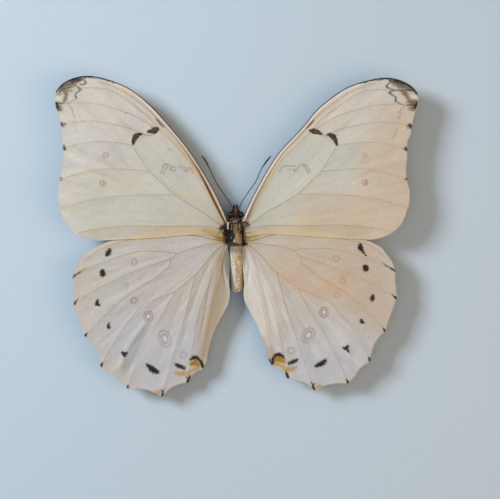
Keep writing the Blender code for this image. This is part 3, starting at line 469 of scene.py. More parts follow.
# Layers of marks: their field, where they start and are full, their strength, their raggedness and colour
UPPER_PAINT = [
    ("sage", 0.0, 1.0, 0.38, 0.3, "#b9c0b0"),
    # peach cast of the right wings, partly their own colour and partly painted warm light
    ("peach", 0.0, 1.0, 0.38, 0.3, "#c7a477"),
    ("grey", 0.0, 1.0, 0.45, 0.3, "#bcc4d2"),
    # pale inner wing, with a painted highlight along a ridge
    ("white", 0.0, 1.2, 0.6, 0.8, "#d9d5cf"),
    ("rust", 0.0, 1.1, 0.28, 0.5, "#cf9f75"),
    ("tan", 0.0, 1.2, 0.6, 0.4, "#a58d63"),
    ("shade", 0.0, 1.2, 0.8, 0.3, "#747a6c"),
    # painted shadow beside a fold
    ("dusk", 0.0, 1.2, 0.32, 0.3, "#8b9088"),
    ("gold", 0.0, 1.2, 0.42, 0.5, "#d6c08a"),
    ("olive", 0.0, 1.4, 0.75, 0.8, "#b39b4e"),
    ("tawny", 0.0, 1.3, 0.5, 0.4, "#c28f58"),
    ("umber", 0.0, 1.3, 0.95, 0.4, "#4c2c14"),
    ("cream", 0.0, 1.2, 0.75, 0.3, "#ded3b0"),
    ("faint", 0.0, 1.5, 0.62, 1.6, "#8a6f66"),
    ("haze", 0.0, 1.5, 0.75, 1.5, "#75603f"),
    ("haze", 0.6, 1.6, 0.5, 2.4, "#55412b"),
    ("brown", 0.2, 1.3, 0.85, 0.8, "#59402a"),
    ("ochre", 0.0, 1.2, 0.8, 1.4, "#b98f38"),
    ("amber", 0.1, 1.1, 0.95, 1.2, "#b58a2c"),
    ("amber", 0.9, 1.6, 0.6, 2.2, "#8f6418"),
    ("smudge", 0.0, 1.3, 0.85, 1.2, "#4f4335"),
    ("smudge", 0.9, 1.6, 0.6, 1.6, "#2c2219"),
    ("spot", 0.5, 1.2, 0.97, 0.6, "#271f16"),
    ("spot", 1.3, 2.3, 0.75, 2.6, "#5d4d39"),
    ("black", 0.25, 1.4, 0.9, 2.6, "#2b2720"),
    ("black", 1.0, 1.8, 0.9, 1.8, "#0f0d0a"),
    ("tip", 0.2, 1.3, 0.95, 1.2, "#13100c"),
]
UNDERSIDE_PAINT = [
    ("tan", 0.0, 1.2, 0.5, 0.4, "#a58d63"),
    ("cream", 0.0, 1.2, 0.5, 0.3, "#ddd2b0"),
    ("faint", 0.1, 1.2, 0.85, 1.2, "#7a5c42"),
    ("haze", 0.0, 1.5, 0.8, 1.5, "#8b6d47"),
    ("brown", 0.2, 1.2, 0.8, 0.8, "#5a3d22"),
    ("ochre", 0.0, 1.3, 0.7, 1.0, "#b08a4e"),
    ("amber", 0.1, 1.1, 0.95, 1.2, "#b5832f"),
    ("smudge", 0.15, 1.3, 0.75, 1.2, "#5b4a38"),
    ("spot", 0.5, 1.4, 0.85, 1.0, "#4a3a2a"),
    ("black", 0.4, 1.4, 0.8, 1.3, "#3a2d22"),
    ("tip", 0.3, 1.3, 0.9, 1.0, "#1d1813"),
]
# Lines of a ring mark: middle of the line and half its width, both in half widths of the mark, and strength
RING_LINES = [(0.9, 0.13, 0.85), (0.5, 0.13, 1.0)]
RING_LINE_CORE = 0.02
RING_FILL = 0.18
RING_FILL_EDGE = (1.25, 0.7)
RING_RAGGEDNESS = 0.3
RING_CENTRE = "#e6dfd2"
RING_CENTRE_EDGE = (0.36, 0.15)
RING_CENTRE_STRENGTH = 0.8
RING_REACH = 2.5  # how far past a ring its numbers hold, in its half widths

# Folds pressed into a wing: (depth, or less than 0 for a ridge, half width, line in plan)
FOREWING_FOLDS = [
    (0.07, 0.4, [(43.5, 25.6), (49.9, 24.4), (55.6, 22.4)]),
    (0.06, 0.5, [(8.0, 3.2), (20.0, 5.6), (33.0, 6.9), (46.0, 5.2)]),
    (0.06, 0.5, [(34.0, 38.2), (43.0, 39.6), (49.5, 39.9), (57.5, 38.4)]),
    (0.06, 0.5, [(34.0, 31.6), (40.0, 32.4), (47.0, 32.8), (56.0, 31.4)]),
    (0.07, 0.5, [(34.0, 16.3), (40.0, 16.6), (47.0, 15.9), (57.0, 13.0)]),
    (0.07, 0.5, [(38.0, 9.4), (46.0, 8.6), (55.0, 5.4)]),
    (0.06, 0.4, [(38.0, 6.4), (46.0, 5.6), (53.0, 3.0)]),
    (0.05, 0.4, [(18.0, 13.9), (23.0, 20.0), (28.0, 27.5)]),
    (0.06, 0.5, [(38.0, 44.0), (46.0, 44.2), (55.0, 43.6)]),
    (0.05, 0.3, [(14.0, 24.0), (24.0, 35.0), (36.0, 44.2)]),
    (0.06, 0.5, [(25.0, 15.4), (34.0, 15.2), (44.0, 14.0)]),
]
HINDWING_FOLDS = [
    (0.40, 0.5, [(3.5, -4.6), (3.9, -8.0), (4.2, -11.0), (3.7, -14.5), (3.0, -17.5)]),
    (0.16, 0.7, [(7.0, -6.5), (12.0, -17.0), (15.5, -28.0), (17.8, -37.0)]),
    (0.10, 0.8, [(15.5, -14.5), (18.5, -24.0), (22.0, -33.0), (26.0, -46.0)]),
    (-0.34, 0.9, [(27.5, -26.5), (29.8, -29.4), (33.0, -34.0), (35.8, -38.4), (37.4, -44.5)]),
    (0.20, 1.2, [(26.5, -29.0), (30.0, -35.5), (33.5, -42.0), (35.0, -47.0)]),
    (0.12, 0.7, [(24.0, -18.5), (32.0, -24.0), (39.0, -31.5), (45.5, -37.0)]),
    (-0.12, 0.8, [(24.0, -13.8), (28.0, -17.0), (34.0, -21.0), (39.0, -25.5)]),
    (0.10, 0.7, [(26.0, -11.5), (34.0, -16.5), (42.0, -21.5), (49.5, -27.0)]),
    (0.10, 0.6, [(24.0, -7.5), (32.0, -9.5), (41.0, -13.0), (50.5, -18.0)]),
    (0.09, 0.6, [(30.0, -3.3), (38.0, -4.6), (46.0, -8.0)]),
    (0.08, 0.6, [(10.0, -2.0), (20.0, -3.0), (30.0, -3.2)]),
    (0.16, 0.5, [(6.4, -8.0), (8.6, -17.0), (10.2, -27.0), (11.9, -36.0)]),
    (-0.10, 0.4, [(4.9, -7.0), (6.6, -15.0), (8.6, -24.0)]),
    (-0.06, 0.25, [(48.6, -13.9), (47.0, -16.5), (46.2, -19.6)]),
    (-0.06, 0.25, [(47.2, -13.4), (45.4, -16.2), (44.9, -18.6)]),
    (-0.06, 0.25, [(46.4, -24.2), (45.2, -26.6), (44.8, -29.4)]),
    (-0.06, 0.25, [(43.0, -31.0), (42.6, -34.0), (41.2, -37.4)]),
    (-0.06, 0.25, [(44.4, -31.6), (44.2, -34.2), (42.8, -37.6)]),
    (-0.06, 0.25, [(41.6, -29.8), (41.2, -33.0), (39.6, -36.6)]),
    (-0.07, 0.3, [(29.4, -44.6), (27.6, -46.2), (25.4, -47.2)]),
    (-0.06, 0.3, [(31.2, -41.0), (30.4, -44.4), (28.6, -48.0)]),
]
FOLD_FADE = 4.0  # how far from its ends a fold is at its full depth

# ---- body stations: along y, middle in x and z, half width, half height

THORAX_STATIONS = [
    (-3.8, -0.3, 4.9, 1.0, 1.1), (-3.4, -0.35, 4.9, 1.95, 2.2), (-2.2, -0.45, 4.95, 2.42, 3.1),
    (0.2, -0.5, 5.0, 2.55, 3.6), (2.4, -0.45, 5.1, 2.35, 3.25), (3.7, -0.4, 5.25, 1.85, 2.5),
    (4.6, -0.35, 5.35, 1.5, 1.8), (5.1, -0.3, 5.4, 1.2, 1.35), (5.3, -0.25, 5.4, 0.8, 0.9),
]
ABDOMEN_STATIONS = [
    (-4.15, 0.0, 4.9, 0.9, 1.0), (-4.6, 0.1, 4.85, 1.9, 1.95), (-7.0, 0.2, 4.7, 2.16, 2.2),
    (-10.0, 0.3, 4.25, 2.15, 2.15), (-13.0, 0.38, 3.45, 2.0, 1.95), (-16.0, 0.42, 2.4, 1.85, 1.75),
    (-17.9, 0.4, 1.62, 1.7, 1.6), (-18.5, 0.38, 1.5, 1.2, 1.1), (-18.65, 0.38, 1.5, 0.5, 0.5),
]
BODY_STEP = 0.5
BODY_SIDES = 36
ABDOMEN_RINGS = 8
ABDOMEN_GROOVE = 0.06
GROOVE_STEP = 0.2
BODY_OFFSET = -0.5

HEAD_CENTRE = (-0.13, 6.4, 5.5)
HEAD_RADII = (1.5, 1.25, 1.35)
ANTENNAE = {
    "left": [
        (-0.7, 7.2, 7.05), (-1.2, 8.6, 7.25), (-2.45, 10.7, 7.45), (-4.05, 13.0, 7.6), (-6.0, 15.9, 7.75),
        (-7.4, 18.7, 7.95), (-8.9, 21.7, 8.1), (-9.9, 23.7, 8.2), (-11.0, 25.0, 8.3),
    ],
    "right": [
        (0.45, 7.2, 7.05), (0.95, 8.3, 7.2), (1.65, 9.8, 7.4), (2.9, 11.9, 7.5), (4.65, 14.4, 7.65),
        (6.25, 16.7, 7.8), (7.5, 19.4, 7.95), (8.55, 21.5, 8.1), (9.8, 23.3, 8.2), (11.2, 25.0, 8.3),
    ],
}
PALPS = {
    "left": [(-0.64, 8.15, 5.0), (-0.66, 8.7, 5.5), (-0.58, 9.4, 6.1)],
    "right": [(0.3, 8.15, 5.0), (0.32, 8.7, 5.5), (0.22, 9.4, 6.1)],
}
TONGUE_CENTRE = (-0.17, 7.75, 3.35)
LEGS = {
    "foreleg": [(1.0, 3.0, 1.85), (1.9, 4.3, 1.9), (1.7, 5.4, 2.6), (1.3, 6.3, 2.9)],
    "midleg": [(1.6, 0.9, 1.2), (5.0, 2.2, 3.5), (7.3, 3.6, 1.0), (8.1, 4.8, 0.16), (9.0, 6.6, 0.16)],
    "hindleg": [(1.5, -1.5, 1.25), (5.2, -4.0, 3.5), (7.5, -7.4, 1.0), (8.1, -8.9, 0.16), (8.8, -11.4, 0.16)],
}
LEG_RADII = {"foreleg": (0.2, 0.1), "midleg": (0.3, 0.15), "hindleg": (0.3, 0.15)}

# ---- view and light

VIEW_CENTRE = (4.48, -4.96)
WING_PLANE_Z = 8.5
VIEW_WIDTH = 160.0
CAMERA_DISTANCE = 600.0
SENSOR_WIDTH = 36.0


def srgb(code):
    """A hex colour as linear red, green, blue and an alpha of 1."""
    values = [int(code[i : i + 2], 16) / 255 for i in (1, 3, 5)]
    return (*(v / 12.92 if v <= 0.04045 else ((v + 0.055) / 1.055) ** 2.4 for v in values), 1.0)


def add_node(tree, kind, inputs=None, **settings):
    """A node with its settings. Each of its inputs gets a value, or a link from the socket given for it."""
    node = tree.nodes.new(kind)
    for name, value in settings.items():
        setattr(node, name, value)
    for name, value in (inputs or {}).items():
        if isinstance(value, bpy.types.NodeSocket):
            tree.links.new(value, node.inputs[name])
        else:
            node.inputs[name].default_value = value
    return node


def new_material(name):
    """An empty material, its node tree and its output node."""
    material = bpy.data.materials.new(name)
    material.use_nodes = True
    tree = material.node_tree
    tree.nodes.clear()
    return material, tree, add_node(tree, "ShaderNodeOutputMaterial")


def to_metres(points):
    """Places in the part's own frame, in millimetres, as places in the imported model's frame, in metres."""
    return (np.asarray(points, float) + ORIGIN) * MM


def unit(vectors):
    return vectors / np.linalg.norm(vectors, axis=-1, keepdims=True)


def smooth_line(points, step):
    """Points about a step apart on one smooth curve (Catmull-Rom) through the given points."""
    given = [np.array(point, float) for point in points]
    line = []
    ends = [2 * given[0] - given[1], *given, 2 * given[-1] - given[-2]]
    for before, start, stop, after in zip(ends, ends[1:], ends[2:], ends[3:]):
        count = max(1, round(float(np.linalg.norm(stop - start)) / step))
        for i in range(count):
            t = i / count
            swing = (stop - before) * t + (2 * before - 5 * start + 4 * stop - after) * t**2
            line.append(start + 0.5 * (swing + (3 * start - before - 3 * stop + after) * t**3))
    return np.array([*line, given[-1]])


def scalloped_line(tips, depths, step):
    """From tip to tip along shallow arcs that curve in by the depths. The wing lies clockwise of the line."""
    line = []
    for start, stop, depth in zip(np.array(tips), np.array(tips)[1:], depths):
        run = stop - start
        length = np.linalg.norm(run)
        inward = np.array([run[1], -run[0]]) / length
        count = max(2, round(length / step))
        for t in np.arange(count) / count:
            line.append(start + run * t + inward * depth * 4 * t * (1 - t))
    return np.array([*line, tips[-1]])


def distance_along(line):
    """How far along a line each of its points is."""
    return np.concatenate([[0.0], np.cumsum(np.linalg.norm(np.diff(line, axis=0), axis=1))])


def spread_along(line, shares):
    """Points of a line in plan at these shares of its length."""
    along = distance_along(line)
    return np.column_stack([np.interp(shares * along[-1], along, line[:, axis]) for axis in (0, 1)])


def stroke_gap(points, stroke):
    """How far each point in plan is outside a stroke of (out, ahead, half width), negative inside it."""
    knots = np.array(stroke, float)
    nearest = np.full(len(points), np.inf)
    for start, stop in zip(knots, knots[1:]):
        run = stop[:2] - start[:2]
        share = np.clip((points - start[:2]) @ run / (run @ run), 0.0, 1.0)
        gap = np.linalg.norm(points - start[:2] - share[:, None] * run, axis=1)
        nearest = np.minimum(nearest, gap - start[2] - share * (stop[2] - start[2]))
    return nearest


def nearest_gap(points, strokes):
    return np.min([stroke_gap(points, stroke) for stroke in strokes], axis=0)


def line_gap(points, line):
    """How far each point in plan is from a line."""
    return stroke_gap(points, [(*knot, 0.0) for knot in line])


# ---- wings

EDGE_STEP = 0.5
MARGIN_STEP = 0.25
VEIN_STEP = 0.6


@dataclass
class Wing:
    """One wing's pattern in plan, with the numbers that give its membrane's height."""

    name: str
    front: np.ndarray
    outer: np.ndarray
    rear: np.ndarray
    veins: dict
    landmarks: list
    marks: dict
    rings: dict
    bands: list
    folds: list
    hinge_z: float
    rise: float
    droop: float
    arch: float
    arch_line: float
    rear_droop: float
    cells: tuple

    def from_veins(self, points):
        return np.min([line_gap(points, vein) for vein in self.veins.values()], axis=0)

    def root(self, behind=0.0):
        """Where the wing leaves the body, in plan."""
        return np.array([HINGE_OUT, self.front[0][1] - behind])


FOREWING = Wing(
    name="forewing",
    front=smooth_line(FOREWING_COSTA, EDGE_STEP),
    outer=smooth_line(FOREWING_OUTER_MARGIN, MARGIN_STEP),
    rear=smooth_line(FOREWING_HIND_MARGIN, EDGE_STEP)[::-1],
    veins={name: smooth_line(vein, VEIN_STEP) for name, vein in FOREWING_VEINS.items()},
    landmarks=FOREWING_LANDMARKS,
    marks=FOREWING_MARKS,
    rings=FOREWING_RINGS,
    bands=FOREWING_BANDS,
    folds=FOREWING_FOLDS,
    hinge_z=7.2,
    rise=0.085,
    droop=0.0006,
    arch=0.0006,
    arch_line=18.0,
    rear_droop=0.7,
    cells=(250, 190),
)
HINDWING = Wing(
    name="hindwing",
    front=smooth_line(HINDWING_LEADING_EDGE, EDGE_STEP),
    outer=scalloped_line(HINDWING_TIPS, HINDWING_SCALLOPS, MARGIN_STEP),
    rear=smooth_line(HINDWING_INNER_MARGIN, EDGE_STEP)[::-1],
    veins={name: smooth_line(vein, VEIN_STEP) for name, vein in HINDWING_VEINS.items()},
    landmarks=HINDWING_LANDMARKS,
    marks=HINDWING_MARKS,
    rings=HINDWING_RINGS,
    bands=HINDWING_BANDS,
    folds=HINDWING_FOLDS,
    hinge_z=6.0,
    rise=0.075,
    droop=0.0005,
    arch=0.0006,
    arch_line=-8.0,
    rear_droop=0.0,
    cells=(205, 232),
)

# Low waves in the membrane: height, wavelength, direction in degrees, phase
RIPPLES = [
    (0.10, 23.0, 20.0, 0.4), (0.07, 15.0, 75.0, 1.9), (0.05, 9.5, 130.0, 3.3),
    (0.018, 4.3, 50.0, 0.7), (0.014, 3.1, 105.0, 2.6), (0.010, 2.2, 160.0, 5.1),
]
RIPPLE_START = 12.0  # how far from the hinge the waves have their full height


def ripple(points):
    """The low unevenness of a dried membrane, with no ripple at the hinge."""
    rise = np.zeros(len(points))
    for height, length, degrees, phase in RIPPLES:
        angle = math.radians(degrees)
        along = points @ np.array([math.cos(angle), math.sin(angle)])
        rise += height * np.sin(along * math.tau / length + phase)
    return rise * np.clip((points[:, 0] - HINGE_OUT) / RIPPLE_START, 0.0, 1.0)


def wing_height(wing, points):
    """Height of the middle of the membrane, which sags a little between its veins."""
    span = points[:, 0] - HINGE_OUT
    arch = wing.arch * (points[:, 1] - wing.arch_line) ** 2
    sag = SAG_BETWEEN_VEINS * (1 - np.exp(-wing.from_veins(points) / SAG_REACH))
    height = wing.hinge_z + wing.rise * span - wing.droop * span**2 - arch - sag + ripple(points)
    if wing.rear_droop:
        height -= wing.rear_droop * np.exp(-((line_gap(points, wing.rear[::2]) / REAR_DROOP_REACH) ** 2))
    for depth, half_width, line in wing.folds:
        from_end = np.linalg.norm(points[:, None] - np.array([line[0], line[-1]]), axis=2).min(axis=1)
        fading = np.clip(from_end / FOLD_FADE, 0.0, 1.0)
        height -= fading * depth * np.exp(-((line_gap(points, line) / half_width) ** 2))
    return height


def on_side(wing, side, points):
    """Plan points of the pattern as they lie on this side's wing."""
    if side == "left":
        return points
    left = np.array([pair[0] for pair in wing.landmarks], float)
    shift = np.array([pair[1] for pair in wing.landmarks], float) - left
    gaps = ((points[:, None] - left[None]) ** 2).sum(axis=2)
    weight = (gaps + LANDMARK_SOFTNESS) ** LANDMARK_FALLOFF
    return points + weight @ shift / weight.sum(axis=1, keepdims=True)


def in_space(wing, side, points):
    """Plan points of the pattern as places on this side's membrane."""
    plan = on_side(wing, side, points)
    return np.column_stack([SIDES[side] * plan[:, 0], plan[:, 1], wing_height(wing, points)])


def patch(wing, across, down):
    """Plan points of the wing at shares across it, root to outer margin, and down it, front to rear edge."""
    front, rear = spread_along(wing.front, across), spread_along(wing.rear, across)
    outer = spread_along(wing.outer, down)
    root = wing.front[0] + down[:, None] * (wing.rear[0] - wing.front[0])
    u, v = across[:, None], down[:, None]
    flat = (1 - v) * front + v * rear + (1 - u) * root + u * outer
    near = (1 - u) * ((1 - v) * wing.front[0] + v * wing.rear[0])
    return flat - near - u * ((1 - v) * wing.front[-1] + v * wing.rear[-1])


def deselect():
    bpy.ops.object.select_all(action="DESELECT")


def set_field(mesh, name, values):
    """A number at each point of a mesh, which its material reads."""
    mesh.attributes.new(name, "FLOAT", "POINT").data.foreach_set("value", np.asarray(values, np.float32))


def finished(piece, slot, *nodes):
    """Hands a piece over: it rides on the insect and stands for its CAD nodes. Its slot is not used."""
    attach(piece, "root")
    if nodes:
        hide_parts(*nodes)


def level(points, strokes, soft):
    """1 on the strokes' edges, more inside them, and 0 at the soft distance from them."""
    return np.clip(1 - nearest_gap(points, strokes) / soft, -MARK_FLOOR, MARK_CEILING)


def ring_fields(points, rings):
    """Each point's place in the nearest ring mark, in half widths from its middle, and its strength."""
    best = np.full(len(points), np.inf)
    place = np.zeros((len(points), 2))
    strength = np.zeros(len(points))
    for out, ahead, half_out, half_ahead, tilt, tone in rings:
        angle = math.radians(tilt)
        turn = np.array([[math.cos(angle), -math.sin(angle)], [math.sin(angle), math.cos(angle)]])
        local = (points - (out, ahead)) @ turn / (half_out, half_ahead)
        radius = np.linalg.norm(local, axis=1)
        nearer = radius < best
        best[nearer] = radius[nearer]
        place[nearer] = local[nearer]
        strength[nearer] = tone
    return place, strength * (best < RING_REACH)


SPOKE_SPREAD = 30.0  # how far apart in millimetres two lines from the root are, for each radian between them
SPOKE_START = 1.0  # how far inside the hinge they meet
ROOT_BEHIND = 2.0  # how far behind the front edge


def wing_fields(wing, points, plan, side):
    """What the wing's materials read at each point: distances and mark levels."""
    place, strength = ring_fields(plan, wing.rings[side])
    from_root = points - wing.root(ROOT_BEHIND)
    fields = {
        **{edge: line_gap(points, getattr(wing, edge)[::2]) for edge in ("front", "rear", "outer")},
        "from_vein": wing.from_veins(points),
        "from_root": np.linalg.norm(from_root, axis=1),
        "spoke": SPOKE_SPREAD * np.arctan2(from_root[:, 1], from_root[:, 0] + SPOKE_START),
        "ring_across": place[:, 0],
        "ring_along": place[:, 1],
        "ring_strength": strength,
    }
    for name in {**wing.marks["left"], **wing.marks["right"]}:
        strokes = wing.marks[side].get(name)
        none = np.full(len(plan), -MARK_FLOOR)
        fields[name] = level(plan, strokes, MARK_SOFTNESS[name]) if strokes else none
    return fields


UNDERSIDE_SLOT = 1
GRID_GATHER = 0.3  # draws the grid's lines together towards the outer margin, where the finest marks are
SMOOTH_BELOW = 50.0  # degrees between faces


def add_membrane(wing, side, upper, underside):
    """The wing's sheet: a fine grid drawn to the wing's outline, with a thin wall and the marks' fields."""
    deselect()
    bpy.ops.mesh.primitive_grid_add(x_subdivisions=wing.cells[0], y_subdivisions=wing.cells[1], size=1)
    piece = bpy.context.object
    piece.name = f"{wing.name}_{side}_membrane"
    mesh = piece.data
    found = np.empty(len(mesh.vertices) * 3)
    mesh.vertices.foreach_get("co", found)
    across, down = np.clip(found.reshape(-1, 3)[:, :2] + 0.5, 0.0, 1.0).T
    points = patch(wing, across + GRID_GATHER * across * (1 - across), down)
    mesh.vertices.foreach_set("co", to_metres(in_space(wing, side, points)).ravel())
    if side == "right":
        bpy.ops.object.mode_set(mode="EDIT")
        bpy.ops.mesh.select_all(action="SELECT")
        bpy.ops.mesh.flip_normals()
        bpy.ops.object.mode_set(mode="OBJECT")
    for name, values in wing_fields(wing, points, on_side(wing, side, points), side).items():
        set_field(mesh, name, values)
    mesh.materials.append(upper)
    mesh.materials.append(underside)
    wall = piece.modifiers.new("wall", "SOLIDIFY")
    wall.thickness = MEMBRANE_THICKNESS * MM
    wall.offset = 0.0
    wall.material_offset = UNDERSIDE_SLOT
    bpy.ops.object.modifier_apply(modifier=wall.name)
    bpy.ops.object.shade_smooth_by_angle(angle=math.radians(SMOOTH_BELOW))
    finished(piece, "wing", f"{wing.name}_{side}")


def add_rods(name, routes, material, slot, nodes=(), resolution=2):
    """Round rods joined in one mesh. A route is (points in the part's frame, radius at each of them)."""
    curve = bpy.data.curves.new(name, "CURVE")
    curve.dimensions = "3D"
    curve.bevel_depth = MM
    curve.bevel_resolution = resolution
    curve.use_fill_caps = True
    for points, radii in routes:
        spline = curve.splines.new("POLY")
        spline.points.add(len(points) - 1)
        for knot, place, radius in zip(spline.points, to_metres(points), radii):
            knot.co = (*place, 1.0)
            knot.radius = radius
        spline.use_smooth = True
    piece = bpy.data.objects.new(name, curve)
    bpy.context.scene.collection.objects.link(piece)
    deselect()
    piece.select_set(True)
    bpy.context.view_layer.objects.active = piece
    bpy.ops.object.convert(target="MESH")
    piece = bpy.context.object
    piece.data.materials.append(material)
    finished(piece, slot, *nodes)


VEIN_RADII = {"costal": (0.14, 0.06), "radial": (0.08, 0.05), "stem": (0.08, 0.06), "cell_rear": (0.09, 0.07)}
OTHER_VEIN_RADII = (0.075, 0.04)
VEIN_ROOTS = {
    "forewing": {"costal": (3.0, 3.4), "radial": (3.2, 3.4), "cell_rear": (3.0, 1.9), "anal": (3.0, 1.1)},
    "hindwing": {
        "costal": (3.0, -2.3), "stem": (3.0, -2.8), "cell_rear": (3.0, -3.0), "second_anal": (3.1, -3.3),
        "third_anal": (2.9, -3.6),
    },
}


def add_veins(wing, side, materials):
    """The wing's veins as tapering rods in the membrane. One on the left forewing is darker."""
    routes = {"vein": [], "costal_vein": []}
    for name, vein in wing.veins.items():
        root = VEIN_ROOTS[wing.name].get(name)
        line = vein if root is None else np.vstack([[root], vein])
        radii = VEIN_RADII.get(name, OTHER_VEIN_RADII)
        kind = "costal_vein" if wing is FOREWING and name == "costal" and side == "left" else "vein"
        routes[kind].append((in_space(wing, side, line), np.linspace(*radii, len(line))))
    for kind, lines in routes.items():
        if lines:
            add_rods(f"{wing.name}_{side}_{kind}s", lines, materials[kind], "wing")


COSTA_RADII = (0.12, 0.18)
COSTA_STEP = 0.4


def add_costa(side, material):
    """The thin black rod along a forewing's front edge."""
    edge = smooth_line(FOREWING_COSTA, COSTA_STEP)
    route = (in_space(FOREWING, side, edge), np.linspace(*COSTA_RADII, len(edge)))
    add_rods(f"forewing_{side}_costa", [route], material, "wing")


# ---- hairs and scales


@dataclass
class Coat:
    """How hairs or scales of one sort lie on a surface, and their ranges of length and width."""

    stand: float  # how far they stand off, against 1 along the surface
    stray: float  # how far their ways differ
    curl: float  # how far they bend back to the surface
    sway: float  # how far their bends differ
    lengths: tuple
    widths: tuple

    def aims(self, draw, facing, comb):
        return unit(self.stand * facing + comb + draw.normal(scale=self.stray, size=facing.shape))

    def sizes(self, draw, count):
        return draw.uniform(*self.lengths, count), draw.uniform(*self.widths, count)


BLADE_JOINTS = 3
BLADE_TURN = 0.35  # how far blades are turned about their shafts
ROOT_SHADE = 0.62  # brightness at a blade's root, against 1 at its tip
TINT_RANGE = (0.8, 1.2)
BACKWARD = np.array([0.0, -1.0, 0.0])


def add_blades(name, roots, aims, bends, lengths, widths, tints, material, slot, seed, joints=BLADE_JOINTS):
    """Hairs or scales as one mesh of tapering blades, each from its root along its aim, over to its bend."""
    draw = np.random.default_rng(seed)
    shares = np.linspace(0.0, 1.0, joints + 1)
    over = 0.5 * shares[None, :, None] ** 2 * bends[:, None]
    line = roots[:, None] + lengths[:, None, None] * (shares[None, :, None] * aims[:, None] + over)
    across = unit(np.cross(aims, UP + BLADE_TURN * draw.normal(size=aims.shape)))
    half = 0.5 * widths[:, None] * (1 - shares[None, :-1] ** 2) * (0.75 + 0.5 * shares[None, :-1])
    shift = half[..., None] * across[:, None]
    blade = np.concatenate([line[:, :-1] - shift, line[:, :-1] + shift, line[:, -1:]], axis=1)
    tip = 2 * joints
    faces = [(joints - 1, tip - 1, tip)]
    for i in range(joints - 1):
        faces += [(i, joints + i, joints + i + 1), (i, joints + i + 1, i + 1)]
    count = len(roots)
    first = np.arange(count)[:, None, None] * (tip + 1)
    mesh = bpy.data.meshes.new(name)
    corners = to_metres(blade.reshape(-1, 3))
    corners[:, 2] = np.maximum(corners[:, 2], 0.0)
    mesh.from_pydata(corners, [], (first + np.array(faces)[None]).reshape(-1, 3).tolist())
    shade = ROOT_SHADE + (1 - ROOT_SHADE) * np.concatenate([shares[:-1], shares[:-1], [1.0]])
    colours = np.ones((count, tip + 1, 4), np.float32)
    colours[..., :3] = tints[:, None, :3] * shade[None, :, None]
    mesh.attributes.new("tint", "FLOAT_COLOR", "POINT").data.foreach_set("color", colours.ravel())
    mesh.shade_smooth()
    mesh.materials.append(material)
    piece = bpy.data.objects.new(name, mesh)
    bpy.context.scene.collection.objects.link(piece)
    finished(piece, slot)


def picked_tints(draw, codes, count):
    """Colours drawn from a few hex codes, each a little lighter or darker."""
    palette = np.array([srgb(code)[:3] for code in codes])
    chosen = palette[draw.integers(len(codes), size=count)]
    return chosen * draw.uniform(*TINT_RANGE, size=(count, 1))


def tint_where(draw, tints, here, codes):
    """Draws new tints for the hairs that are here."""
    tints[here] = picked_tints(draw, codes, int(here.sum()))


def along_stroke(draw, stroke, count):
    """Random places on a stroke's middle line in plan, and its half width at each."""
    knots = np.array(stroke, float)
    at = draw.uniform(0, len(knots) - 1, count)
    out, ahead, half_width = (np.interp(at, np.arange(len(knots)), column) for column in knots.T)
    return np.column_stack([out, ahead]), half_width[:, None]


def along_rod(draw, line, radii, first, count, inset):
    """Random roots all round a rod, how the rod runs there, and how its skin faces."""
    at = draw.integers(first, len(line) - 2, count)
    run = unit(line[at + 1] - line[at])
    facing = unit(np.cross(run, unit(draw.normal(size=(count, 3)))))
    return line[at] + facing * (radii[at] * inset)[:, None], run, facing


FRINGE = Coat(stand=0.0, stray=0.14, curl=0.0, sway=0.2, lengths=(0.266, 0.494), widths=(0.07, 0.12))
FRINGE_SPACING = 0.075
FRINGE_INSET = 0.12
FRINGE_STEP = 0.002  # share of the margin to each side that tells how it runs
FRINGE_TINTS = ["#d8cfbf", "#cfc6b5", "#c4b9a4"]
FRINGE_DARK = "#2a211a"
DARK_REACH = 0.15


def add_fringe(wing, side, material, seed):
    """Scales standing out from the outer margin: pale, and dark where a vein ends in a black tip."""
    draw = np.random.default_rng(seed)
    count = int(distance_along(wing.outer)[-1] / FRINGE_SPACING)
    shares = (np.arange(count) + draw.uniform(0, 1, count)) / count
    at, ahead, behind = (
        spread_along(wing.outer, np.clip(shares + step, 0, 1)) for step in (0.0, FRINGE_STEP, -FRINGE_STEP)
    )
    run = unit(ahead - behind)
    outward = np.column_stack([-run[:, 1], run[:, 0]])
    roots = in_space(wing, side, at - outward * FRINGE_INSET)
    aims = FRINGE.aims(draw, roots, unit(in_space(wing, side, at + outward) - roots))
    marks = wing.marks[side]
    dark = nearest_gap(on_side(wing, side, at), marks.get("tip", marks["black"])) < DARK_REACH
    tints = picked_tints(draw, FRINGE_TINTS, count)
    tints[dark] = srgb(FRINGE_DARK)[:3]
    sizes = FRINGE.sizes(draw, count)
    bends = draw.normal(scale=FRINGE.sway, size=roots.shape)
    add_blades(f"{wing.name}_{side}_fringe", roots, aims, bends, *sizes, tints, material, "wing", seed)


SPOT_HAIR = Coat(stand=0.12, stray=0.22, curl=0.1, sway=0.0, lengths=(0.3, 0.75), widths=(0.05, 0.11))
SPOT_HAIRS = 90
SPOT_HAIR_REACH = 0.9  # share of a spot's half width
SPOT_HAIR_FLATNESS = (1.0, 1.0, 0.2)
SPOT_HAIR_TINTS = ["#1a1611", "#2b251d", "#3a3228", "#4d4335"]


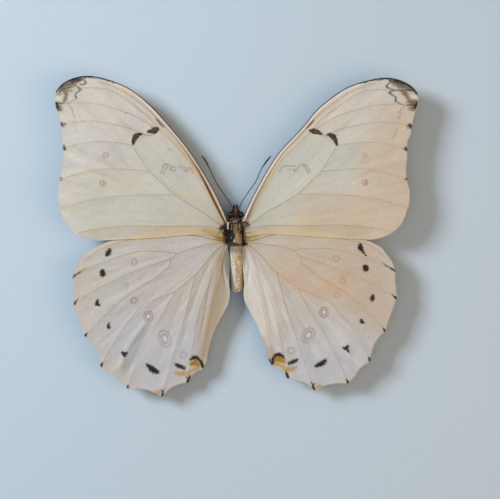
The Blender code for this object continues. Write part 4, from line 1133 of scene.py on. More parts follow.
def add_spot_hairs(wing, side, material, seed):
    """Dark scales that lie flat, pointing out from the root, and feather the edges of the black spots."""
    draw = np.random.default_rng(seed)
    plans = []
    for stroke in wing.marks[side].get("spot", wing.marks[side]["black"]):
        middle, half_width = along_stroke(draw, stroke, SPOT_HAIRS)
        plans.append(middle + draw.uniform(-SPOT_HAIR_REACH, SPOT_HAIR_REACH, middle.shape) * half_width)
    plan = np.vstack(plans)
    count = len(plan)
    pattern = 2 * plan - on_side(wing, side, plan)
    height = wing_height(wing, pattern) + 0.5 * MEMBRANE_THICKNESS
    roots = np.column_stack([SIDES[side] * plan[:, 0], plan[:, 1], height])
    flow = unit(plan - wing.root()) * (SIDES[side], 1.0)
    stray = draw.normal(scale=SPOT_HAIR.stray, size=(count, 3)) * SPOT_HAIR_FLATNESS
    aims = unit(np.column_stack([flow, np.full(count, SPOT_HAIR.stand)]) + stray)
    add_blades(
        f"{wing.name}_{side}_spot_scales", roots, aims, np.tile(-SPOT_HAIR.curl * UP, (count, 1)),
        *SPOT_HAIR.sizes(draw, count), picked_tints(draw, SPOT_HAIR_TINTS, count), material, "wing", seed,
    )


# ---- materials


def field(tree, name):
    """The socket of a number that the mesh holds at each point."""
    return add_node(tree, "ShaderNodeAttribute", attribute_name=name).outputs["Fac"]


def paint(tree, colour, code, value, start, full, strength=1.0, held_to=1.0):
    """The colour with another painted over it: none where the value is at start, most where it is at full."""
    limits = {"Value": value, "From Min": start, "From Max": full, "To Min": 0.0, "To Max": strength}
    share = add_node(tree, "ShaderNodeMapRange", limits, interpolation_type="SMOOTHSTEP").outputs[0]
    share = add_node(tree, "ShaderNodeMath", {0: share, 1: held_to}, operation="MULTIPLY").outputs[0]
    return add_node(tree, "ShaderNodeMix", {0: share, 6: colour, 7: srgb(code)}, data_type="RGBA").outputs[2]


def off_middle(tree, value, middle, ragged, raggedness):
    """How far a value is from the middle of a line or band, with a ragged edge."""
    off = add_node(tree, "ShaderNodeMath", {0: value, 1: middle}, operation="SUBTRACT").outputs[0]
    off = add_node(tree, "ShaderNodeMath", {0: off}, operation="ABSOLUTE").outputs[0]
    inputs = {0: ragged, 1: raggedness, 2: off}
    return add_node(tree, "ShaderNodeMath", inputs, operation="MULTIPLY_ADD").outputs[0]


def paint_bands(tree, colour, bands, ragged):
    """The colour with the wing's bands along its edges, which fade away from the root."""
    for edge, middle, half_width, strength, code, fades_from, gone in bands:
        off = off_middle(tree, field(tree, edge), middle, ragged, BAND_RAGGEDNESS * half_width)
        limits = {"Value": field(tree, "from_root"), "From Min": gone, "From Max": fades_from}
        reach = add_node(tree, "ShaderNodeMapRange", limits).outputs[0]
        colour = paint(tree, colour, code, off, half_width, 0.0, strength, reach)
    return colour


def paint_rings(tree, colour, code, share, ragged):
    """The colour with ring marks: a faint fill, two thin lines and a pale middle."""
    inputs = {0: field(tree, "ring_across"), 1: field(tree, "ring_along")}
    place = add_node(tree, "ShaderNodeCombineXYZ", inputs).outputs[0]
    radius = add_node(tree, "ShaderNodeVectorMath", {0: place}, operation="LENGTH").outputs["Value"]
    radius = off_middle(tree, radius, 0.0, ragged, RING_RAGGEDNESS)
    tone = field(tree, "ring_strength")
    colour = paint(tree, colour, code, radius, *RING_FILL_EDGE, RING_FILL * share, tone)
    for middle, half_width, strength in RING_LINES:
        off = off_middle(tree, radius, middle, ragged, 0.0)
        colour = paint(tree, colour, code, off, half_width, RING_LINE_CORE, strength * share, tone)
    return paint(tree, colour, RING_CENTRE, radius, *RING_CENTRE_EDGE, RING_CENTRE_STRENGTH, tone)


def paint_marks(tree, colour, marks, layers, ragged):
    """The colour with every layer of marks that this wing has."""
    for layer, start, full, strength, raggedness, code in layers:
        if layer in marks["left"] or layer in marks["right"]:
            value = off_middle(tree, field(tree, layer), -MARK_FLOOR, ragged, raggedness)
            colour = paint(tree, colour, code, value, MARK_FLOOR + start, MARK_FLOOR + full, strength)
    return colour


CLOUD_SIZE = 20.0
PATCH_SIZE = 11.0
MOTTLE_SIZE = 1.1
RAGGED_SIZE = 0.4
HAIR_LIKE = (0.5, 1.2, 1.0)  # stretches the raggedness of marks along the wing, as the hairs over them lie
SCALE_ROW = 0.22  # a real row of wing scales is 0.1 mm deep, drawn twice as coarse so that it shows
CREASE_PITCH = 1.5
CREASE_RUN = 0.09  # how fast a crease changes along itself, against across
LIGHT_THROUGH = 0.2


def wing_noises(tree):
    """Uneven patterns over a wing, from coarse to fine, and the raggedness of its marks."""
    place = add_node(tree, "ShaderNodeTexCoord").outputs["Object"]
    combed = add_node(tree, "ShaderNodeMapping", {"Vector": place, "Scale": HAIR_LIKE}).outputs[0]
    clouds, patches, mottle, ragged, grain = (
        add_node(
            tree, "ShaderNodeTexNoise", {"Vector": where, "Scale": 1 / (size * MM), "Detail": 3.0}
        ).outputs[0]
        for where, size in (
            (place, CLOUD_SIZE), (place, PATCH_SIZE), (place, MOTTLE_SIZE), (combed, RAGGED_SIZE),
            (place, SCALE_ROW),
        )
    )
    ragged = add_node(tree, "ShaderNodeMath", {0: ragged, 1: 0.5}, operation="SUBTRACT").outputs[0]
    return clouds, patches, mottle, grain, ragged


def wing_creases(tree):
    """Fine creases that run out from the root."""
    run = {0: field(tree, "from_root"), 1: CREASE_RUN}
    run = add_node(tree, "ShaderNodeMath", run, operation="MULTIPLY").outputs[0]
    spokes = add_node(tree, "ShaderNodeCombineXYZ", {0: field(tree, "spoke"), 1: run}).outputs[0]
    creases = {"Vector": spokes, "Scale": 1 / CREASE_PITCH, "Detail": 4.0}
    return add_node(tree, "ShaderNodeTexNoise", creases).outputs[0]


def scaled_membrane(tree, colour, creases, grain):
    """Matt scales in relief, with a little light shining through the membrane under them."""
    relief = {"Height": creases, "Strength": 0.5, "Distance": 0.25 * MM}
    relief = add_node(tree, "ShaderNodeBump", relief).outputs[0]
    relief = {"Height": grain, "Strength": 0.3, "Distance": 0.04 * MM, "Normal": relief}
    finish = {
        "Base Color": colour, "Normal": add_node(tree, "ShaderNodeBump", relief).outputs[0],
        "Roughness": 0.65, "Sheen Weight": 0.05, "Sheen Roughness": 0.45, "Specular IOR Level": 0.25,
        "IOR": 1.5,
    }
    scales = add_node(tree, "ShaderNodeBsdfPrincipled", finish).outputs[0]
    through = add_node(tree, "ShaderNodeBsdfTranslucent", {"Color": colour}).outputs[0]
    return add_node(tree, "ShaderNodeMixShader", {0: LIGHT_THROUGH, 1: scales, 2: through}).outputs[0]


def wing_material(name, base, wing, layers, ring_code, ring_share, vein_share):
    """Dried wing membrane under overlapping scales: matt, chalky and softly pearly, and lit through."""
    material, tree, output = new_material(name)
    clouds, patches, mottle, grain, ragged = wing_noises(tree)
    creases = wing_creases(tree)
    from_vein = field(tree, "from_vein")
    # The pearl of the scales wavers between a lilac, a green and a cream cast. The creases get a painted
    # highlight on their ridges and painted shade between them, and a tan stain follows the veins.
    lilac, green, cream, shade = base
    cast = {0: clouds, 6: srgb(lilac), 7: srgb(green)}
    colour = add_node(tree, "ShaderNodeMix", cast, data_type="RGBA").outputs[2]
    for code, value, start, full, strength in (
        (cream, patches, 0.4, 0.75, 0.55),
        (shade, mottle, 0.45, 0.75, 0.2),
        (shade, grain, 0.35, 0.75, 0.25),
        ("#e4d9c4", creases, 0.52, 0.75, 0.4),
        ("#9b9c9f", creases, 0.48, 0.25, 0.36),
        ("#cdb68c", from_vein, 1.1, 0.2, 0.16),
        ("#8c7a62", from_vein, 0.2, 0.04, vein_share),
    ):
        colour = paint(tree, colour, code, value, start, full, strength)
    colour = paint_bands(tree, colour, wing.bands, ragged)
    colour = paint_rings(tree, colour, ring_code, ring_share, ragged)
    colour = paint_marks(tree, colour, wing.marks, layers, ragged)
    tree.links.new(scaled_membrane(tree, colour, creases, grain), output.inputs["Surface"])
    return material


VEIN_HINGE = (BODY_OFFSET, 1.0, 7.0)  # veins are darkest nearest to here


def vein_material(name, pale, tan, dark, tan_from, dark_from):
    """Horny wing veins: dark brown at the root, thinning to tan under cream scales further out."""
    material, tree, output = new_material(name)
    place = add_node(tree, "ShaderNodeTexCoord").outputs["Object"]
    speckle = add_node(tree, "ShaderNodeTexNoise", {"Vector": place, "Scale": 1 / (0.8 * MM)}).outputs["Fac"]
    hinge = tuple(to_metres([VEIN_HINGE])[0])
    away = add_node(tree, "ShaderNodeVectorMath", {0: place, 1: hinge}, operation="DISTANCE").outputs["Value"]
    colour = paint(tree, srgb(pale), tan, speckle, 0.3, 0.7, 0.4)
    colour = paint(tree, colour, tan, away, tan_from * MM, 0.4 * tan_from * MM)
    colour = paint(tree, colour, dark, away, dark_from * MM, 0.35 * dark_from * MM)
    chitin = add_node(tree, "ShaderNodeBsdfPrincipled", {"Base Color": colour, "Roughness": 0.5, "IOR": 1.55})
    tree.links.new(chitin.outputs[0], output.inputs["Surface"])
    return material


def blade_material(name):
    """Fine hairs and scales: each has its own tint, dull along the shaft, with a faint sheen across it."""
    material, tree, output = new_material(name)
    finish = {
        "Base Color": add_node(tree, "ShaderNodeAttribute", attribute_name="tint").outputs["Color"],
        "Roughness": 0.6, "Sheen Weight": 0.05, "Sheen Roughness": 0.4, "Specular IOR Level": 0.2, "IOR": 1.5,
    }
    hair = add_node(tree, "ShaderNodeBsdfPrincipled", finish)
    tree.links.new(hair.outputs[0], output.inputs["Surface"])
    return material


def harden(tree, output, pattern, codes, roughness, ior, strength, depth):
    """A hard shell whose colour, between two codes, and relief both follow a pattern."""
    mixed = {0: pattern, 6: srgb(codes[0]), 7: srgb(codes[1])}
    bump = {"Height": pattern, "Strength": strength, "Distance": depth * MM}
    finish = {
        "Base Color": add_node(tree, "ShaderNodeMix", mixed, data_type="RGBA").outputs[2],
        "Normal": add_node(tree, "ShaderNodeBump", bump).outputs[0], "Roughness": roughness, "IOR": ior,
    }
    shell = add_node(tree, "ShaderNodeBsdfPrincipled", finish)
    tree.links.new(shell.outputs[0], output.inputs["Surface"])


def cuticle_material(name, dark, light, roughness, pitch):
    """Hard cuticle: dark, smooth and slightly uneven, with a low gloss."""
    material, tree, output = new_material(name)
    place = add_node(tree, "ShaderNodeTexCoord").outputs["Object"]
    noise = {"Vector": place, "Scale": 1 / (pitch * MM), "Detail": 3.0}
    pits = add_node(tree, "ShaderNodeTexNoise", noise).outputs["Fac"]
    harden(tree, output, pits, (dark, light), roughness, 1.5, 0.5, 0.04)
    return material


def eye_material():
    """A dried compound eye: near black, faceted so finely that it only breaks up its glassy highlight."""
    material, tree, output = new_material("glossy_faceted_eye")
    place = add_node(tree, "ShaderNodeTexCoord").outputs["Object"]
    cells = {"Vector": place, "Scale": 1 / (0.07 * MM), "Randomness": 0.25}
    facets = add_node(tree, "ShaderNodeTexVoronoi", cells).outputs["Distance"]
    harden(tree, output, facets, ("#0b0806", "#241510"), 0.25, 1.45, 0.3, 0.012)
    return material


# ---- body


def body_at(stations, y):
    """Middle in x and z, half width and half height of the body at y, each as an array."""
    table = np.array(smooth_line(stations, BODY_STEP))
    order = np.argsort(table[:, 0])
    return [np.interp(y, table[order, 0], table[order, column]) for column in (1, 2, 3, 4)]


def skin_points(stations, y, angle):
    """Places on the body, and how its skin faces. The angle turns from its back, positive to the right."""
    x, z, half_width, half_height = body_at(stations, y)
    places = np.column_stack([x + half_width * np.sin(angle), y, z + half_height * np.cos(angle)])
    facing = np.column_stack([np.sin(angle) / half_width, np.zeros_like(y), np.cos(angle) / half_height])
    return places, unit(facing)


def add_loft(name, stations, material, slot, node):
    """A closed body: a capped ring of points, extruded and resized from station to station along y."""
    deselect()
    y, x, z, half_width, half_height = stations[0]
    start = to_metres([(x, y, z)])[0]
    bpy.ops.mesh.primitive_circle_add(
        vertices=BODY_SIDES, radius=MM, fill_type="NGON", location=start,
        rotation=(math.radians(90), 0.0, 0.0),
    )
    piece = bpy.context.object
    piece.name = name
    bpy.ops.object.transform_apply(location=True, rotation=True, scale=True)
    bpy.ops.object.mode_set(mode="EDIT")
    bpy.ops.mesh.select_all(action="SELECT")
    bpy.ops.transform.resize(value=(half_width, 1.0, half_height), center_override=start)
    for before, station in zip(stations, stations[1:]):
        step = np.array([station[1] - before[1], station[0] - before[0], station[2] - before[2]]) * MM
        bpy.ops.mesh.extrude_region_move(TRANSFORM_OT_translate={"value": step})
        wider, higher = station[3] / before[3], station[4] / before[4]
        centre = to_metres([(station[1], station[0], station[2])])[0]
        bpy.ops.transform.resize(value=(wider, 1.0, higher), center_override=centre)
    bpy.ops.mesh.select_all(action="SELECT")
    bpy.ops.mesh.normals_make_consistent(inside=False)
    bpy.ops.object.mode_set(mode="OBJECT")
    bpy.ops.object.shade_smooth()
    piece.data.materials.append(material)
    finished(piece, slot, node)


def grooved(stations):
    """The abdomen's stations, closer together and drawn in at the end of each of its rings."""
    fine = smooth_line(stations, GROOVE_STEP)
    front, back = fine[0][0], fine[-1][0]
    ring = (fine[:, 0] - front) / (back - front) * ABDOMEN_RINGS % 1.0
    fine[:, 3:] *= (1 - ABDOMEN_GROOVE * ring**4)[:, None]
    return fine


def add_ball(name, centre, radii, material, slot, nodes=(), segments=40, rings=28):
    """A rounded lump: a ball stretched to its three radii."""
    deselect()
    bpy.ops.mesh.primitive_uv_sphere_add(
        segments=segments, ring_count=rings, radius=MM, location=to_metres([centre])[0], scale=radii
    )
    piece = bpy.context.object
    piece.name = name
    bpy.ops.object.transform_apply(location=True, rotation=True, scale=True)
    bpy.ops.object.shade_smooth()
    piece.data.materials.append(material)
    finished(piece, slot, *nodes)


# Where the thorax's hair changes colour: middle (x, y), reach (x, y), weight, hex codes
THORAX_ZONES = [
    ((-0.3, 2.3), (1.3, 1.6), 1.3, ["#b39468", "#c8a878", "#846538", "#664c2c"]),
    ((-1.0, 2.3), (0.2, 1.4), 3.4, ["#33230f", "#241809"]),
    ((-0.35, 2.4), (0.12, 1.2), 2.0, ["#6b5234", "#4d3a22"]),
    ((0.5, 2.4), (0.16, 1.3), 3.0, ["#4a3420", "#33230f"]),
    ((1.35, 2.9), (0.25, 0.9), 4.0, ["#c1914f", "#ecd9ba", "#d8b98c"]),
    ((0.85, -0.9), (0.75, 1.7), 1.9, ["#ccb694", "#dec6a0", "#ac946e"]),
    ((-3.1, 1.9), (0.6, 3.0), 1.4, ["#2a1a11", "#3a2416", "#1a110c"]),
    ((2.25, 1.0), (0.7, 3.6), 1.4, ["#2d1b10", "#412817", "#1c120c"]),
    ((-1.75, 2.9), (0.2, 1.3), 2.6, ["#24170e", "#38261a"]),
    ((-1.6, 0.0), (1.0, 1.7), 1.0, ["#1d1a1a", "#2a2524", "#15120f"]),
    ((1.2, -0.2), (0.16, 1.7), 2.6, ["#5a4228", "#40301c"]),
    ((-1.5, -1.1), (0.2, 0.25), 2.4, ["#d8d4cc", "#b9b6b2"]),
    ((-0.5, -1.8), (0.25, 0.3), 2.4, ["#d8d4cc", "#c5b8a4"]),
    ((-0.4, -3.2), (2.2, 0.7), 1.2, ["#4a3a2c", "#7a6a58", "#2c2118"]),
]
ZONE_WAVER = (0.55, 1.0)  # how far a zone's pull differs from hair to hair
THORAX_COAT = Coat(stand=0.4, stray=0.26, curl=0.35, sway=0.2, lengths=(0.35, 0.7), widths=(0.05, 0.1))
THORAX_HAIRS = 16000
THORAX_RANGE = (-3.4, 3.7)
SIDE_HAIR_ANGLE = 0.9  # round the back, where the hair starts to be longer and less combed
SIDE_HAIR_FADE = 0.6
SIDE_HAIR_EXTRA = (0.1, 0.7)
BALD_MIDDLE = (-1.35, -0.55)
BALD_REACH = (1.1, 1.35)
BALD_EDGE = (0.5, 1.2)
BALD_BACK = 1.3  # it ends at this angle round the back
BALD_SHARE = 0.88


def thorax_tints(draw, places):
    """A tint for each hair on the thorax, from the zone that draws it most."""
    pulls = []
    for middle, reach, weight, _ in THORAX_ZONES:
        gap = (((places[:, :2] - middle) / reach) ** 2).sum(axis=1)
        pulls.append(weight * np.exp(-gap) * draw.uniform(*ZONE_WAVER, len(places)))
    chosen = np.argmax(pulls, axis=0)
    tints = np.empty((len(places), 3))
    for i, (_, _, _, codes) in enumerate(THORAX_ZONES):
        tint_where(draw, tints, chosen == i, codes)
    return tints


def off_bald_patch(draw, places, angle):
    """Which hairs are kept: all but most of those in a ragged patch on the back."""
    local = (places[:, :2] - BALD_MIDDLE) / BALD_REACH
    ragged = 0.9 + 0.35 * np.sin(7.0 * local[:, 0] + 2.0) * np.sin(6.0 * local[:, 1] + 1.0)
    bald = (local**2).sum(axis=1) < ragged * draw.uniform(*BALD_EDGE, len(places))
    return ~(bald & (np.abs(angle) < BALD_BACK) & (draw.uniform(size=len(places)) < BALD_SHARE))


def add_thorax(materials):
    """The thorax: a dark cuticle under a coat of hair that leaves one bald, shiny patch on its back."""
    skin = smooth_line(THORAX_STATIONS, BODY_STEP)
    add_loft("thorax_skin", skin, materials["cuticle"], "thorax_fur", "thorax")
    draw = np.random.default_rng(21)
    y = draw.uniform(*THORAX_RANGE, THORAX_HAIRS)
    angle = draw.uniform(-math.pi, math.pi, THORAX_HAIRS)
    places, facing = skin_points(THORAX_STATIONS, y, angle)
    kept = off_bald_patch(draw, places, angle)
    places, facing = places[kept], facing[kept]
    count = len(places)
    side = np.clip((np.abs(angle[kept]) - SIDE_HAIR_ANGLE) / SIDE_HAIR_FADE, 0.0, 1.0)
    lengths = draw.uniform(*THORAX_COAT.lengths, count) + side * draw.uniform(*SIDE_HAIR_EXTRA, count)
    comb = BACKWARD * (1 - 0.5 * side[:, None])
    aims = THORAX_COAT.aims(draw, facing, comb)
    bends = 0.5 * comb - THORAX_COAT.curl * facing + draw.normal(scale=THORAX_COAT.sway, size=facing.shape)
    widths = draw.uniform(*THORAX_COAT.widths, count)
    add_blades(
        "thorax_hair", places, aims, bends, lengths, widths, thorax_tints(draw, places), materials["hair"],
        "thorax_fur", 22, joints=4,
    )


# Rows of scales across the neck: along y, spread, where a row starts and ends round the back, scales, codes
NECK_CREAM = ["#c9a678", "#e0c69c", "#b08a58", "#8a6238"]
NECK_BLACK = ["#1a130d", "#2c1f15", "#120d0a"]
NECK_WHITE = ["#f2ebdf", "#e2d8c8", "#cfc4b2"]
COLLAR = [
    (5.4, 0.1, 0.0, 1.5, 170, NECK_CREAM),
    (5.0, 0.1, 0.0, 1.5, 360, NECK_BLACK),
    (4.7, 0.12, 0.0, 0.8, 340, NECK_BLACK),
    (4.5, 0.07, 0.0, 0.55, 70, NECK_WHITE),
    (4.2, 0.08, 0.0, 0.8, 320, NECK_BLACK),
    (4.0, 0.06, 0.0, 0.4, 40, NECK_WHITE),
    (3.6, 0.12, 0.0, 0.95, 380, NECK_BLACK),
    (4.25, 0.3, 0.8, 1.7, 420, NECK_CREAM),
    (4.1, 0.3, 0.85, 1.3, 260, NECK_BLACK),
]
COLLAR_BOW = 2.6  # how fast a row falls back from its middle
BOW_END = 0.75  # angle round the back from where it runs straight
COLLAR_COAT = Coat(stand=0.35, stray=0.24, curl=0.4, sway=0.0, lengths=(0.22, 0.45), widths=(0.06, 0.12))
COLLAR_LIFT = 0.05


def add_collar(material):
    """Rows of scales that arch over the neck, pale and black by turns, with a tan flap on each side."""
    for number, (y, spread, start, stop, count, codes) in enumerate(COLLAR):
        draw = np.random.default_rng(121 + number)
        angle = draw.uniform(start, stop, count) * draw.choice([-1, 1], count)
        bow = COLLAR_BOW * (1 - np.cos(np.minimum(np.abs(angle), BOW_END)))
        places, facing = skin_points(THORAX_STATIONS, y - bow + draw.normal(scale=spread, size=count), angle)
        aims = COLLAR_COAT.aims(draw, facing, BACKWARD)
        add_blades(
            f"collar_row_{number}", places + COLLAR_LIFT * facing, aims, -COLLAR_COAT.curl * facing,
            *COLLAR_COAT.sizes(draw, count), picked_tints(draw, codes, count), material, "thorax_fur",
            131 + number,
        )


ABDOMEN_COAT = Coat(stand=0.14, stray=0.1, curl=0.18, sway=0.07, lengths=(0.35, 0.65), widths=(0.12, 0.22))
ABDOMEN_COMB = np.array([0.0, -1.0, -0.22])
ABDOMEN_SCALES = 15000
ABDOMEN_RANGE = (-18.2, -3.5)
TIP_SCALES = 1400
TIP_RANGE = (-18.64, -17.8)  # along the blunt end, where the scales close over it
TIP_CLOSING = 1.8
# Colours of the abdomen's scales by place, each over the ones before it
ABDOMEN_CODES = {
    "pale": ["#f2eae0", "#e6ded4", "#f8f2ea", "#d4ccc2"],
    "middle": ["#ba9e88", "#cab49e", "#a58973"],
    "cream": ["#f2dab6", "#ebcfa4", "#f8e6c8"],
    "arc": ["#d3aa74", "#c49a62", "#dcb988"],
    "edge": ["#dfb67e", "#cb9c60", "#e6c692"],
    "saddle": ["#e8caa0", "#d6b084", "#f0dcbd", "#d1a877"],
    "ring": ["#8f6c45", "#a88458"],
    "waist": ["#bcad9a", "#a79782", "#cabca8", "#8a7962"],
    # tip codes near white: partly the tip's own cream and partly painted light over the shade on its
    # downturned end
    "tip": ["#fff2d8", "#fde8c6", "#fff9ee", "#f2d09a"],
}
WAIST = -5.2  # scales ahead of it lie as far out as here, so that they close the gap to the thorax
UNDERSIDE = 2.0  # angle round the abdomen from where it is pale again
ABDOMEN_RING_MARK = (0.82, -7.4, 0.3, 0.6)
SCALE_ARCS = 1.35  # arcs of darker scales to each ring of the abdomen


def abdomen_tints(draw, places, angle):
    """Off-white on the left, mauve in the middle and cream with golden arcs on the right, waist to tip."""
    y = places[:, 1]
    jitter = draw.normal(scale=0.16, size=len(y))
    arcs = ((y + 4.15) / -14.5 * SCALE_ARCS * ABDOMEN_RINGS + 1.1 * angle + 0.6 * jitter) % 1.0
    right = angle + jitter
    out = np.hypot(places[:, 0] - ABDOMEN_RING_MARK[0], y - ABDOMEN_RING_MARK[1])
    zones = {
        "pale": y < 0.0,
        "middle": (right > -0.18) & (right < 0.12),
        "cream": (right > 0.1) & (right < UNDERSIDE + 2.0 * jitter),
        "arc": (right > 0.1) & (right < UNDERSIDE) & (arcs < 0.3),
        "edge": (right > 1.0) & (right < UNDERSIDE + 2.0 * jitter),
        "saddle": (y > -8.7 + 2.0 * jitter) & (right > -0.6),
        "ring": (out > ABDOMEN_RING_MARK[2]) & (out < ABDOMEN_RING_MARK[3]),
        "waist": y + 2.5 * jitter > -6.0,
        # the tip's scales, partly painted light over the shade on the downturned end
        "tip": (y + 2.0 * jitter < -15.6) & (arcs > 0.22),
    }
    tints = np.empty((len(y), 3))
    for zone, here in zones.items():
        tint_where(draw, tints, here, ABDOMEN_CODES[zone])
    return tints


def add_abdomen(materials):
    """The abdomen: ringed, under scales and short hair that lie back over each other."""
    add_loft("abdomen_skin", grooved(ABDOMEN_STATIONS), materials["hide"], "abdomen_scales", "abdomen")
    draw = np.random.default_rng(31)
    y = np.append(draw.uniform(*ABDOMEN_RANGE, ABDOMEN_SCALES), draw.uniform(*TIP_RANGE, TIP_SCALES))
    count = len(y)
    angle = draw.uniform(-math.pi, math.pi, count)
    places, facing = skin_points(ABDOMEN_STATIONS, np.minimum(y, WAIST), angle)
    places[:, 1] = y
    rise = 0.4 * np.clip((-13.0 - y) / 4.0, 0.0, 1.0) * np.maximum(np.cos(angle), 0.0)
    closing = TIP_CLOSING * np.clip((TIP_RANGE[1] - y) / (TIP_RANGE[1] - TIP_RANGE[0]), 0.0, 1.0)
    lift = 0.13 * np.clip((y + 7.0) / 1.5, 0.0, 1.0) - 0.03
    aims = ABDOMEN_COAT.aims(draw, facing, (rise - closing)[:, None] * facing + ABDOMEN_COMB)
    bends = -ABDOMEN_COAT.curl * facing + draw.normal(scale=ABDOMEN_COAT.sway, size=facing.shape)
    add_blades(
        "abdomen_scale_coat", places + lift[:, None] * facing, aims, bends, *ABDOMEN_COAT.sizes(draw, count),
        abdomen_tints(draw, places, angle), materials["hair"], "abdomen_scales", 32,
    )


TUFT_TINTS = {
    "brown": ["#3b1f13", "#55301d", "#2a1710", "#6d4a3a"],
    "dark": ["#1c120c", "#2c1c12", "#3f2a1a", "#553a22"],
    "golden": ["#cfab4c", "#e2c272", "#b08c38", "#ecd48e", "#8a6a34"],
    "mauve": ["#6b4640", "#8a6258", "#4a2c28", "#b08a78"],
    "pale": ["#e4cdbb", "#efdccd", "#c9b1a1"],
    "orange": ["#b8772c", "#c98d3c", "#8f5a1f", "#e0b066"],
}
# Tufts at the wing bases: name, stroke in plan, hairs, lengths and way they lie
TUFTS = {
    "left": [
        ("brown", [(3.1, 3.3, 0.5), (4.0, 2.4, 0.6), (5.0, 1.7, 0.5)], 640, (0.2, 0.5), (0.6, -0.5)),
        ("mauve", [(3.6, 2.6, 0.5), (5.2, 1.6, 0.5)], 380, (0.2, 0.45), (0.8, -0.2)),
        ("pale", [(4.4, 1.2, 0.3), (5.7, 0.9, 0.2)], 150, (0.2, 0.5), (1.0, 0.1)),
        ("golden", [(6.2, -0.7, 0.3), (5.2, -1.5, 0.4), (3.8, -2.3, 0.5)], 560, (0.4, 1.0), (0.9, 0.3)),
        ("orange", [(3.2, -1.0, 0.4), (4.4, -2.0, 0.5)], 400, (0.3, 0.8), (0.9, 0.1)),
        ("dark", [(3.0, 2.4, 0.4), (3.5, 0.4, 0.5), (3.2, -3.0, 0.5)], 1100, (0.3, 0.9), (0.8, -0.5)),
    ],
    "right": [
        ("brown", [(2.7, 3.9, 0.4), (3.6, 3.2, 0.5), (4.4, 2.6, 0.4)], 600, (0.2, 0.5), (0.6, -0.4)),
        ("mauve", [(2.9, 2.7, 0.5), (4.1, 2.0, 0.5)], 380, (0.2, 0.45), (0.8, -0.2)),
        ("pale", [(3.5, 2.1, 0.3), (4.0, 1.3, 0.3)], 280, (0.2, 0.5), (1.0, 0.1)),
        ("golden", [(2.2, -0.8, 0.4), (3.2, -1.2, 0.5), (4.0, -0.9, 0.3)], 560, (0.3, 0.9), (1.0, 0.1)),
        ("orange", [(2.3, -1.2, 0.3), (3.3, -1.6, 0.4)], 320, (0.3, 0.7), (1.0, 0.0)),
        (
            "dark", [(2.1, 2.4, 0.4), (2.4, -0.8, 0.4), (2.4, -3.2, 0.4), (3.3, -3.0, 0.4)],
            900, (0.3, 0.7), (0.8, -0.5),
        ),
    ],
}
TUFT_COAT = Coat(stand=0.2, stray=0.6, curl=0.3, sway=0.3, lengths=(0.2, 1.0), widths=(0.04, 0.08))
TUFT_SPREAD = 0.6  # share of a stroke's half width
TUFT_CLUMP = 0.7


def add_tufts(material):
    """Tufts of hair that radiate from the thorax over the bases of the wings."""
    tufts = [(side, tuft) for side in SIDES for tuft in TUFTS[side]]
    for number, (side, (name, stroke, count, lengths, way)) in enumerate(tufts):
        draw = np.random.default_rng(41 + number)
        middle, half_width = along_stroke(draw, stroke, count)
        plan = middle + draw.normal(size=(count, 2)) * TUFT_SPREAD * half_width
        on_wing = np.column_stack([np.maximum(plan[:, 0], HINGE_OUT + 0.2), plan[:, 1]])
        height = np.where(plan[:, 1] > -0.5, wing_height(FOREWING, on_wing), wing_height(HINDWING, on_wing))
        height += draw.uniform(0.0, 0.3, count)
        roots = np.column_stack([SIDES[side] * plan[:, 0], plan[:, 1], height])
        clump = TUFT_CLUMP * np.sin(5.1 * plan[:, :1] + 6.3 * plan[:, 1:] + np.array([[0.0, 1.9, 4.1]]))
        way = np.array([SIDES[side] * way[0], way[1], TUFT_COAT.stand])
        aims = unit(way + clump + draw.normal(scale=TUFT_COAT.stray, size=(count, 3)))
        bends = draw.normal(scale=TUFT_COAT.sway, size=(count, 3)) - TUFT_COAT.curl * UP
        add_blades(
            f"{name}_tuft_{side}", roots, aims, bends, draw.uniform(*lengths, count),
            draw.uniform(*TUFT_COAT.widths, count), picked_tints(draw, TUFT_TINTS[name], count), material,
            "thorax_fur", 61 + number, joints=4,
        )


TEGULA_PLACE = (2.0, 2.9, 7.4)
TEGULA_RADII = (0.45, 1.0, 0.35)
TEGULA_COAT = Coat(stand=0.5, stray=0.2, curl=0.3, sway=0.0, lengths=(0.35, 0.7), widths=(0.05, 0.09))
TEGULA_HAIRS = 500
TEGULA_BROWNS = ["#2d1b10", "#4a2f1c", "#6d5136", "#1c120c"]
# The pale streak along each lobe: how far across it, half its width and its codes
TEGULA_STREAKS = {"left": (-0.1, 0.36, ["#fff8ec", "#eee4d4"]), "right": (-0.7, 0.25, ["#c1914f", "#ecd9ba"])}


def add_tegulae(materials):
    """The two lobes that cap the forewing hinges, under brown hair with a pale streak."""
    for number, (side, sign) in enumerate(SIDES.items()):
        out, ahead, up = TEGULA_PLACE
        centre = np.array([BODY_OFFSET + sign * out, ahead, up])
        add_ball(f"tegula_{side}", centre, TEGULA_RADII, materials["cuticle"], "thorax_fur")
        draw = np.random.default_rng(55 + number)
        facing = unit(draw.normal(size=(TEGULA_HAIRS, 3)))
        facing[:, 2] = np.abs(facing[:, 2])
        aims = TEGULA_COAT.aims(draw, facing, np.array([0.2 * sign, -0.8, 0.0]))
        across, half_width, codes = TEGULA_STREAKS[side]
        tints = picked_tints(draw, TEGULA_BROWNS, TEGULA_HAIRS)
        tint_where(draw, tints, (np.abs(facing[:, 0] - across) < half_width) & (facing[:, 2] > 0.2), codes)
        add_blades(
            f"tegula_{side}_hair", centre + facing * TEGULA_RADII, aims, -TEGULA_COAT.curl * facing,
            *TEGULA_COAT.sizes(draw, TEGULA_HAIRS), tints, materials["hair"], "thorax_fur", 57 + number,
        )


# Stiff dark bristles that curl over the wing bases, as points in the part's frame
BRISTLES = [
    [(-3.6, 0.3, 8.3), (-4.8, 0.5, 8.4), (-5.7, 0.15, 8.2), (-6.15, -0.4, 7.9)],
    [(2.6, 0.2, 8.3), (3.8, 0.55, 8.4), (4.7, 0.25, 8.2), (5.2, -0.35, 7.9)],
]
BRISTLE_RADII = (0.08, 0.03)


